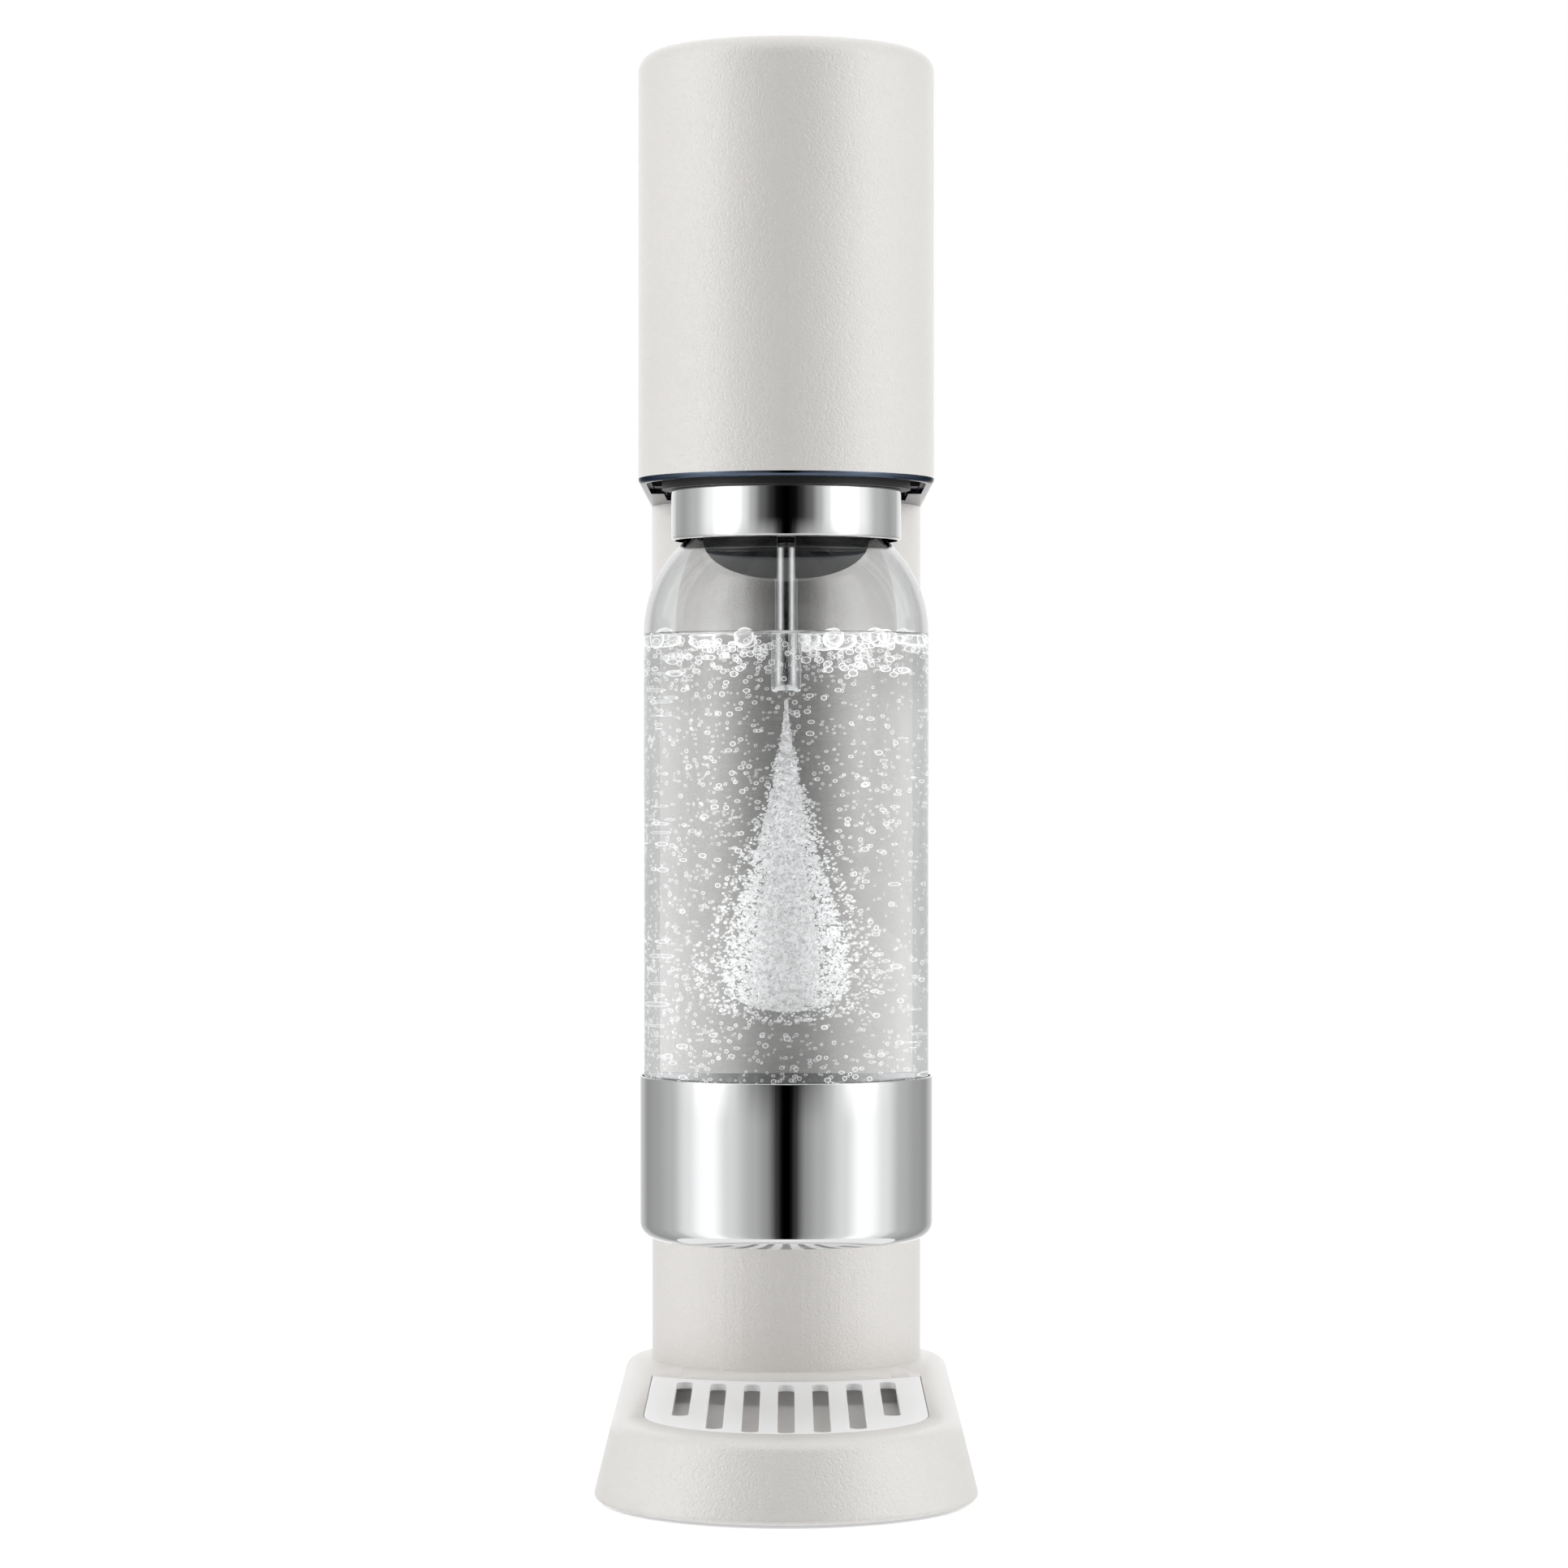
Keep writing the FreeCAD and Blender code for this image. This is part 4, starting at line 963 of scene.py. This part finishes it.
@dataclass
class Bottle(SubAssembly):
    """The clear bottle in its steel cup, and the drink in it."""

    wall: float = 1.8 * MM
    floor: float = 4.0 * MM
    foot_round: float = 6.0 * MM
    neck: float = 28.5 * MM
    shoulder_rise: float = 34.0 * MM
    shoulder_inset: float = 28.0 * MM
    neck_rise: float = 8.0 * MM
    lip_rise: float = 0.6 * MM
    inner_rise_share: float = 0.4
    cup_wall: float = 0.8 * MM
    cup_round: float = 5.0 * MM
    cup_lip_outer: float = 0.35 * MM
    cup_lip_inner: float = 0.3 * MM
    water_below_mouth: float = 42.4 * MM
    water_sunk: float = 0.12 * MM
    meniscus_rise: float = 0.9 * MM
    meniscus_width: float = 4.0 * MM
    meniscus_fall: float = 1.2 * MM
    foot_steps: int = 8
    shoulder_steps: int = 24
    lip_steps: int = 8
    centre: Vector = field(default_factory=Vector)
    radius: float = 0.0
    low: float = 0.0
    mouth: float = 0.0

    def build(self) -> None:
        """Build the bottle, its cup and the drink."""
        low, high = (Vector(corner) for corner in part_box("bottle"))
        self.centre = Vector(((low.x + high.x) / 2, (low.y + high.y) / 2, 0))
        self.radius = (high.x - low.x) / 2
        self.low, self.mouth = low.z, high.z
        self.glass()
        self.cup()
        self.dress("bottle", Slot.RUBBER, "cup_pad")
        self.water()

    def side(self, inset: float, floor: float, top: float) -> Profile:
        """Half profile from the axis at the floor up to a height in the neck.

        Args:
            inset: How far inside the outer face.
            floor: Height of the floor.
            top: Height where the profile ends.

        Returns:
            Points from the axis outwards and up.
        """
        radius = self.radius - inset
        neck = self.neck - inset
        bend = self.mouth - self.neck_rise - self.shoulder_rise
        rise = self.shoulder_rise - inset * self.inner_rise_share
        corner = self.foot_round - inset
        points: Profile = [(0.0, floor)]
        for step in range(self.foot_steps + 1):
            angle = math.pi / 2 * step / self.foot_steps
            points.append((radius - corner + corner * math.sin(angle),
                           floor + corner - corner * math.cos(angle)))
        reach = 1 - (radius - neck) / self.shoulder_inset
        end = rise * math.sqrt(1 - reach * reach)
        for step in range(self.shoulder_steps + 1):
            height = end * math.sin(math.pi / 2 * step / self.shoulder_steps)
            part = max(0.0, 1 - (height / rise) ** 2)
            level = bend + height
            if level < top:
                points.append((radius - self.shoulder_inset * (1 - math.sqrt(part)), level))
        if top > bend + end:
            points.append((neck, top))
        return points

    def glass(self) -> None:
        """The bottle's wall as one closed shell with a rounded lip."""
        lip_foot = self.mouth - self.lip_rise
        outside = self.side(0.0, self.low, lip_foot)
        inside = self.side(self.wall, self.low + self.floor, lip_foot)
        lip_middle = self.neck - self.wall / 2
        lip = []
        for step in range(1, self.lip_steps):
            angle = math.pi * step / self.lip_steps
            lip.append((lip_middle + self.wall / 2 * math.cos(angle),
                        lip_foot + self.lip_rise * math.sin(angle)))
        profile = outside + lip + inside[::-1]
        piece = turned("bottle_clear", profile, self.centre, self.finishes.of(Slot.GLASS),
                       closed=False, segments=192)
        settle(piece, "bottle", ("bottle",))

    def cup(self) -> None:
        """The polished cup round the bottle's foot."""
        low, high = (Vector(corner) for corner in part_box("bottle_cup"))
        outer = (high.x - low.x) / 2
        inner = outer - self.cup_wall
        corners = [(0.0, low.z), (outer, low.z), (outer, high.z), (inner, high.z),
                   (inner, low.z + self.cup_wall), (0.0, low.z + self.cup_wall)]
        rounds = {1: self.cup_round, 2: self.cup_lip_outer, 3: self.cup_lip_inner,
                  4: self.cup_round - self.cup_wall}
        piece = turned("bottle_cup_steel", rounded(corners, rounds, 10), self.centre,
                       self.finishes.of(Slot.STEEL), closed=False, segments=256)
        settle(piece, "bottle", ("bottle_cup",))

    def water(self) -> None:
        """The water, with its edge drawn up a little at the wall."""
        level = self.mouth - self.water_below_mouth
        floor = self.low + self.floor - self.water_sunk
        profile = self.side(self.wall - self.water_sunk, floor, level)
        edge = profile[-1][0]
        profile.append((edge, level + self.meniscus_rise))
        for step in range(1, self.lip_steps + 1):
            inward = self.meniscus_width * step / self.lip_steps
            drawn = self.meniscus_rise * math.exp(-inward / self.meniscus_fall)
            profile.append((edge - inward, level + drawn))
        profile.append((0.0, level))
        piece = turned("water_body", profile, self.centre, self.finishes.water, closed=False,
                       segments=128)
        settle(piece, "bottle")


@dataclass(frozen=True)
class Swarm:
    """One swarm of bubbles: how many, where and how big."""

    name: str
    count: int
    inner: float
    outer: float
    low: float
    high: float
    small: float
    large: float
    seed: int
    spread: Spread = Spread.COLUMN
    start: float = 0.0
    sweep: float = 2 * math.pi
    lean: float = 1.0
    rare: float = 3.0
    faces: int = 2


class BubbleField:
    """A Geometry Nodes tree that scatters bubbles in an upright round space.

    A plume's width follows gain * level ** flare * sqrt(1 - level ** close).
    """

    FLARE: ClassVar[float] = 1.5
    CLOSE: ClassVar[float] = 11.0
    GAIN: ClassVar[float] = 1.4

    INPUTS: ClassVar[tuple[tuple[str, str], ...]] = (
        ("Count", "NodeSocketInt"), ("Seed", "NodeSocketInt"),
        ("Inner", "NodeSocketFloat"), ("Outer", "NodeSocketFloat"),
        ("Low", "NodeSocketFloat"), ("High", "NodeSocketFloat"),
        ("Small", "NodeSocketFloat"), ("Large", "NodeSocketFloat"),
        ("Start", "NodeSocketFloat"), ("Sweep", "NodeSocketFloat"),
        ("Plume", "NodeSocketFloat"), ("Lean", "NodeSocketFloat"), ("Rare", "NodeSocketFloat"),
        ("Centre", "NodeSocketVector"), ("Faces", "NodeSocketInt"),
        ("Material", "NodeSocketMaterial"),
    )

    def __init__(self) -> None:
        """Build the tree and keep its socket identifiers."""
        self.tree = bpy.data.node_groups.new("bubble_field", "GeometryNodeTree")
        self.tree.is_modifier = True
        face = self.tree.interface
        face.new_socket("Geometry", in_out="INPUT", socket_type="NodeSocketGeometry")
        face.new_socket("Geometry", in_out="OUTPUT", socket_type="NodeSocketGeometry")
        self.keys: dict[str, str] = {}
        for name, kind in self.INPUTS:
            socket = face.new_socket(name, in_out="INPUT", socket_type=kind)
            self.keys[name] = socket.identifier
        self._wire()

    def _random(self, given: bpy.types.Node, offset: int) -> Socket:
        """Make a random 0 to 1 field of its own for each bubble.

        Args:
            given: The group's input node.
            offset: What is added to the seed.

        Returns:
            The random socket.
        """
        node = self.tree.nodes.new("FunctionNodeRandomValue")
        node.data_type = "FLOAT"
        seed = math_node(self.tree, "ADD", given.outputs["Seed"], float(offset))
        self.tree.links.new(seed, node.inputs["Seed"])
        return [socket for socket in node.outputs if socket.enabled][0]

    def _between(self, low: Socket, high: Socket, share: Socket) -> Socket:
        """Find the value a share of the way from one socket to another.

        Args:
            low: Value at share 0.
            high: Value at share 1.
            share: How far along.

        Returns:
            The result socket.
        """
        gap = math_node(self.tree, "SUBTRACT", high, low)
        return math_node(self.tree, "MULTIPLY_ADD", gap, share, low)

    def _wire(self) -> None:
        """Wire the whole tree."""
        tree, links = self.tree, self.tree.links
        given = tree.nodes.new("NodeGroupInput")
        result = tree.nodes.new("NodeGroupOutput")
        level = math_node(tree, "POWER", self._random(given, 1), given.outputs["Lean"])
        angle = self._between(
            given.outputs["Start"],
            math_node(tree, "ADD", given.outputs["Start"], given.outputs["Sweep"]),
            self._random(given, 2),
        )
        flare = math_node(tree, "POWER", level, self.FLARE)
        closing = math_node(tree, "SUBTRACT", 1.0, math_node(tree, "POWER", level, self.CLOSE))
        belly = math_node(tree, "MULTIPLY", flare, math_node(tree, "SQRT", closing))
        narrow = math_node(tree, "MULTIPLY_ADD", belly, self.GAIN, -1.0)
        width = math_node(tree, "MULTIPLY_ADD", narrow, given.outputs["Plume"], 1.0)
        spread = math_node(tree, "SQRT", self._random(given, 3))
        reach = math_node(
            tree, "MULTIPLY",
            self._between(given.outputs["Inner"], given.outputs["Outer"], spread), width)
        height = self._between(given.outputs["Low"], given.outputs["High"], level)
        spot = tree.nodes.new("ShaderNodeCombineXYZ")
        links.new(math_node(tree, "MULTIPLY", reach, math_node(tree, "COSINE", angle)), spot.inputs["X"])
        links.new(math_node(tree, "MULTIPLY", reach, math_node(tree, "SINE", angle)), spot.inputs["Y"])
        links.new(height, spot.inputs["Z"])
        moved = tree.nodes.new("ShaderNodeVectorMath")
        moved.operation = "ADD"
        links.new(spot.outputs[0], moved.inputs[0])
        links.new(given.outputs["Centre"], moved.inputs[1])
        points = tree.nodes.new("GeometryNodePoints")
        links.new(given.outputs["Count"], points.inputs["Count"])
        links.new(moved.outputs[0], points.inputs["Position"])
        size = self._between(
            given.outputs["Small"], given.outputs["Large"],
            math_node(tree, "POWER", self._random(given, 4), given.outputs["Rare"]))
        ball = tree.nodes.new("GeometryNodeMeshIcoSphere")
        ball.inputs["Radius"].default_value = 1.0
        links.new(given.outputs["Faces"], ball.inputs["Subdivisions"])
        placed = tree.nodes.new("GeometryNodeInstanceOnPoints")
        links.new(points.outputs[0], placed.inputs["Points"])
        links.new(ball.outputs["Mesh"], placed.inputs["Instance"])
        links.new(size, placed.inputs["Scale"])
        real = tree.nodes.new("GeometryNodeRealizeInstances")
        links.new(placed.outputs[0], real.inputs[0])
        smooth = tree.nodes.new("GeometryNodeSetShadeSmooth")
        links.new(real.outputs[0], smooth.inputs[0])
        paint = tree.nodes.new("GeometryNodeSetMaterial")
        links.new(smooth.outputs[0], paint.inputs[0])
        links.new(given.outputs["Material"], paint.inputs["Material"])
        links.new(paint.outputs[0], result.inputs[0])

    def grow(self, swarm: Swarm, centre: Vector, material: bpy.types.Material) -> bpy.types.Object:
        """Scatter one swarm and turn it into a plain mesh.

        Args:
            swarm: What to scatter.
            centre: A point on the space's axis.
            material: The bubbles' material.

        Returns:
            The swarm as one mesh object.
        """
        carrier = bpy.data.objects.new(f"{swarm.name}_carrier", bpy.data.meshes.new(swarm.name))
        bpy.context.scene.collection.objects.link(carrier)
        modifier = carrier.modifiers.new("bubbles", "NODES")
        modifier.node_group = self.tree
        values = {
            "Count": swarm.count, "Seed": swarm.seed, "Inner": swarm.inner, "Outer": swarm.outer,
            "Low": swarm.low, "High": swarm.high, "Small": swarm.small, "Large": swarm.large,
            "Start": swarm.start, "Sweep": swarm.sweep, "Plume": swarm.spread.value,
            "Lean": swarm.lean, "Rare": swarm.rare, "Centre": centre, "Faces": swarm.faces,
            "Material": material,
        }
        for name, value in values.items():
            modifier[self.keys[name]] = value
        depsgraph = bpy.context.evaluated_depsgraph_get()
        mesh = bpy.data.meshes.new_from_object(carrier.evaluated_get(depsgraph))
        mesh.name = swarm.name
        bpy.data.objects.remove(carrier)
        if not mesh.materials:
            mesh.materials.append(material)
        piece = bpy.data.objects.new(swarm.name, mesh)
        bpy.context.scene.collection.objects.link(piece)
        return piece


@dataclass
class Fizz(SubAssembly):
    """Bubbles on the wall, in the water, in the plume under the nozzle and on the water."""

    bottle: Bottle
    plume_reach: float = 15.0 * MM

    def build(self) -> None:
        """Scatter every swarm."""
        bubbles = BubbleField()
        inner = self.bottle.radius - self.bottle.wall
        floor = self.bottle.low + self.bottle.floor
        level = self.bottle.mouth - self.bottle.water_below_mouth
        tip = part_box("nozzle_tip")[0][2]
        wall_face = inner - 0.7 * MM
        swarms = (
            Swarm("wall_bubbles", 1500, wall_face - 0.5 * MM, wall_face, floor + 3 * MM,
                  level - 3 * MM, 0.3 * MM, 0.65 * MM, 11),
            Swarm("left_wall_bubbles", 1300, wall_face - 0.8 * MM, wall_face, floor + 3 * MM,
                  level - 6 * MM, 0.3 * MM, 0.7 * MM, 23, start=math.pi * 0.85,
                  sweep=math.pi * 0.6, lean=1.5),
            Swarm("rising_bubbles", 1500, 0.0, inner - 2 * MM, floor + 4 * MM, level - 4 * MM,
                  0.3 * MM, 0.8 * MM, 37),
            Swarm("surface_bubbles", 360, 0.0, inner - 3.0 * MM, level - 14.0 * MM,
                  level - 0.8 * MM, 0.4 * MM, 1.1 * MM, 51, lean=0.5, rare=1.6),
            Swarm("edge_bubbles", 34, inner - 4.0 * MM, inner - 3.6 * MM, level - 1.0 * MM,
                  level + 0.2 * MM, 1.2 * MM, 3.4 * MM, 61, rare=1.6, faces=3),
        )
        for swarm in swarms:
            piece = bubbles.grow(swarm, self.bottle.centre, self.finishes.bubble)
            settle(piece, "bottle")
        high, low = tip - 2 * MM, tip - 94 * MM
        plume = Swarm("plume_bubbles", 7000, 0.4 * self.plume_reach, self.plume_reach, high, low,
                      0.25 * MM, 0.62 * MM, 71, spread=Spread.PLUME, lean=0.7, faces=1)
        spray = Swarm("plume_spray", 1500, self.plume_reach, 1.5 * self.plume_reach, high,
                      low - 3 * MM, 0.25 * MM, 0.6 * MM, 83, spread=Spread.PLUME, lean=0.55,
                      faces=1)
        for swarm in (plume, spray):
            piece = bubbles.grow(swarm, self.bottle.centre, self.finishes.foam)
            settle(piece, "bottle")
        self.core(high, low)

    def core(self, high: float, low: float) -> None:
        """The dense white heart of the plume.

        Args:
            high: Height of the plume's point.
            low: Height of its foot.
        """
        profile: Profile = [(0.0, high)]
        for step in range(1, 40):
            share = step / 40
            width = BubbleField.GAIN * share ** BubbleField.FLARE
            width *= math.sqrt(1 - share ** BubbleField.CLOSE)
            profile.append((0.5 * self.plume_reach * width, high + (low - high) * share))
        profile.append((0.0, low))
        piece = turned("plume_core", profile, self.bottle.centre, self.finishes.foam,
                       closed=False, segments=48)
        settle(piece, "bottle")


# --------------------------------------------------------------------------------- studio


@dataclass
class Studio:
    """Camera, floor and soft light."""

    wall_radius: float = 3.0
    wall_low: float = -2.5
    wall_high: float = 3.2
    bend_low: float = 0.0
    bend_high: float = 0.3
    steps: int = 180
    fill_gap: float = 0.1
    floor_radius: float = 30.0
    floor_glow: float = 0.5
    ceiling_glow: float = 1.05
    sensor_width: float = 36.0
    lens: float = 112.2
    shift_x: float = -0.0014
    shift_y: float = -0.0132
    camera_distance: float = 1.5085
    camera_height: float = 0.216

    MIRRORED: ClassVar[Glow] = (
        (0.0, 0.0), (9.0, 0.004), (14.0, 0.03), (24.0, 0.15), (33.0, 0.5), (41.0, 0.95),
        (50.0, 1.7), (60.0, 2.3), (68.0, 2.0), (79.0, 1.15), (102.0, 0.57), (124.0, 0.42),
        (140.0, 0.5), (154.0, 0.85), (170.0, 1.0), (180.0, 1.0),
    )
    MIRRORED_LOW: ClassVar[Glow] = (
        (0.0, 0.0), (3.0, 0.0), (8.0, 0.06), (12.0, 0.24), (15.0, 0.36), (25.0, 0.52),
        (45.0, 0.85), (60.0, 1.3), (68.0, 1.25), (82.0, 0.93), (100.0, 0.55), (122.0, 0.42),
        (138.0, 0.36), (154.0, 0.6), (170.0, 1.0), (180.0, 1.0),
    )
    FILL: ClassVar[Glow] = (
        (0.0, 0.45), (40.0, 0.5), (60.0, 1.2), (75.0, 2.0), (95.0, 1.9), (120.0, 1.1),
        (180.0, 1.0),
    )

    def glow(self, table: Glow, azimuth: float) -> float:
        """How bright the studio wall is in one direction.

        Args:
            table: Brightness by azimuth in degrees.
            azimuth: Degrees from straight in front of the machine, either way.

        Returns:
            Its brightness.
        """
        for (low, first), (high, last) in zip(table, table[1:]):
            if azimuth <= high:
                share = (azimuth - low) / (high - low)
                share = share * share * (3 - 2 * share)
                return first + (last - first) * share
        return table[-1][1]

    def build(self) -> None:
        """Set up the whole studio."""
        self.camera()
        self.world()
        self.floor()
        mirrored = self.soft_wall(
            "mirrored_wall", self.wall_radius, self.MIRRORED_LOW, self.MIRRORED)
        mirrored.visible_diffuse = False
        fill = self.soft_wall(
            "fill_wall", self.wall_radius + self.fill_gap, self.FILL, self.FILL)
        fill.visible_glossy = False
        fill.visible_transmission = False
        self.ceiling()
        bpy.context.scene.view_settings.view_transform = "Standard"

    def camera(self) -> None:
        """A long lens, level, straight in front of the machine."""
        data = bpy.data.cameras.new("front_camera")
        data.sensor_width = self.sensor_width
        data.lens = self.lens
        data.shift_x = self.shift_x
        data.shift_y = self.shift_y
        camera = bpy.data.objects.new("front_camera", data)
        camera.location = (0.0, -self.camera_distance, self.camera_height)
        camera.rotation_euler = (math.pi / 2, 0.0, 0.0)
        bpy.context.scene.collection.objects.link(camera)
        bpy.context.scene.camera = camera

    def world(self) -> None:
        """An even white surround."""
        world = bpy.data.worlds.new("studio_white")
        world.use_nodes = True
        world.node_tree.nodes["Background"].inputs["Color"].default_value = (1.0, 1.0, 1.0, 1.0)
        world.node_tree.nodes["Background"].inputs["Strength"].default_value = 1.0
        bpy.context.scene.world = world

    def disc(self, name: str, radius: float, height: float, down: bool) -> bpy.types.Object:
        """Make a flat disc that belongs to the studio.

        Args:
            name: The disc's name.
            radius: Its radius.
            height: Its height.
            down: Whether it faces down.

        Returns:
            The disc.
        """
        mesh = bpy.data.meshes.new(name)
        built = bmesh.new()
        bmesh.ops.create_circle(built, cap_ends=True, segments=96, radius=radius)
        bmesh.ops.translate(built, verts=built.verts, vec=(0, 0, height))
        if down:
            bmesh.ops.reverse_faces(built, faces=built.faces)
        built.to_mesh(mesh)
        built.free()
        disc = bpy.data.objects.new(name, mesh)
        bpy.context.scene.collection.objects.link(disc)
        return disc

    def floor(self) -> None:
        """A plain pale floor."""
        disc = self.disc("studio_floor", self.floor_radius, 0.0, False)
        material, _, shader = new_material("floor_white")
        shader.inputs["Base Color"].default_value = (0.95, 0.95, 0.95, 1.0)
        shader.inputs["Roughness"].default_value = 0.9
        shader.inputs["Specular IOR Level"].default_value = 0.0
        shader.inputs["Emission Color"].default_value = (1.0, 1.0, 1.0, 1.0)
        shader.inputs["Emission Strength"].default_value = self.floor_glow
        disc.data.materials.append(material)
        disc.visible_glossy = False
        disc.visible_diffuse = False

    def glowing(self, piece: bpy.types.Object, name: str, strength: float, attribute: bool) -> None:
        """Make a studio surface glow, evenly or by its own brightness attribute.

        Args:
            piece: The surface.
            name: The material's name.
            strength: How bright it is.
            attribute: Whether its own attribute sets the brightness instead.
        """
        material = bpy.data.materials.new(name)
        material.use_nodes = True
        tree = material.node_tree
        tree.nodes.clear()
        output = tree.nodes.new("ShaderNodeOutputMaterial")
        light = tree.nodes.new("ShaderNodeEmission")
        light.inputs["Strength"].default_value = strength
        if attribute:
            read = tree.nodes.new("ShaderNodeAttribute")
            read.attribute_name = "glow"
            tree.links.new(read.outputs["Fac"], light.inputs["Strength"])
        tree.links.new(light.outputs[0], output.inputs["Surface"])
        piece.data.materials.append(material)
        piece.visible_camera = False
        piece.visible_shadow = False

    def soft_wall(self, name: str, radius: float, below: Glow, above: Glow) -> bpy.types.Object:
        """A round wall of soft light: dark in front, bright at both sides.

        Args:
            name: The wall's name.
            radius: Its radius.
            below: Brightness by azimuth at the foot.
            above: Brightness by azimuth at the top.

        Returns:
            The wall.
        """
        built = bmesh.new()
        layer = built.verts.layers.float.new("glow")
        rings = []
        levels = ((self.wall_low, below), (self.bend_low, below), (self.bend_high, above),
                  (self.wall_high, above))
        for height, table in levels:
            ring = []
            for step in range(self.steps):
                turn = 2 * math.pi * step / self.steps
                spot = (radius * math.sin(turn), -radius * math.cos(turn), height)
                vertex = built.verts.new(spot)
                away = min(math.degrees(turn), 360 - math.degrees(turn))
                vertex[layer] = self.glow(table, away)
                ring.append(vertex)
            rings.append(ring)
        for low, high in zip(rings, rings[1:]):
            for step in range(self.steps):
                follow = (step + 1) % self.steps
                built.faces.new((low[step], low[follow], high[follow], high[step]))
        mesh = bpy.data.meshes.new(name)
        built.to_mesh(mesh)
        built.free()
        wall = bpy.data.objects.new(name, mesh)
        bpy.context.scene.collection.objects.link(wall)
        self.glowing(wall, f"{name}_light", 1.0, True)
        return wall

    def ceiling(self) -> None:
        """Soft light from above."""
        disc = self.disc("soft_ceiling", self.wall_radius, self.wall_high, True)
        self.glowing(disc, "soft_ceiling_light", self.ceiling_glow, False)


def main() -> None:
    """Build the whole picture, piece by piece."""
    logging.basicConfig(level=logging.INFO, format="%(name)s %(message)s")
    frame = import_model()
    finishes = Finishes()
    bottle = Bottle(frame, finishes)
    for part in (Base, Column, Head, GasSystem, Holder):
        LOG.info("building %s", part.__name__)
        part(frame, finishes).build()
    bottle.build()
    Fizz(frame, finishes, bottle).build()
    Studio().build()


if __name__ == "__main__":
    main()
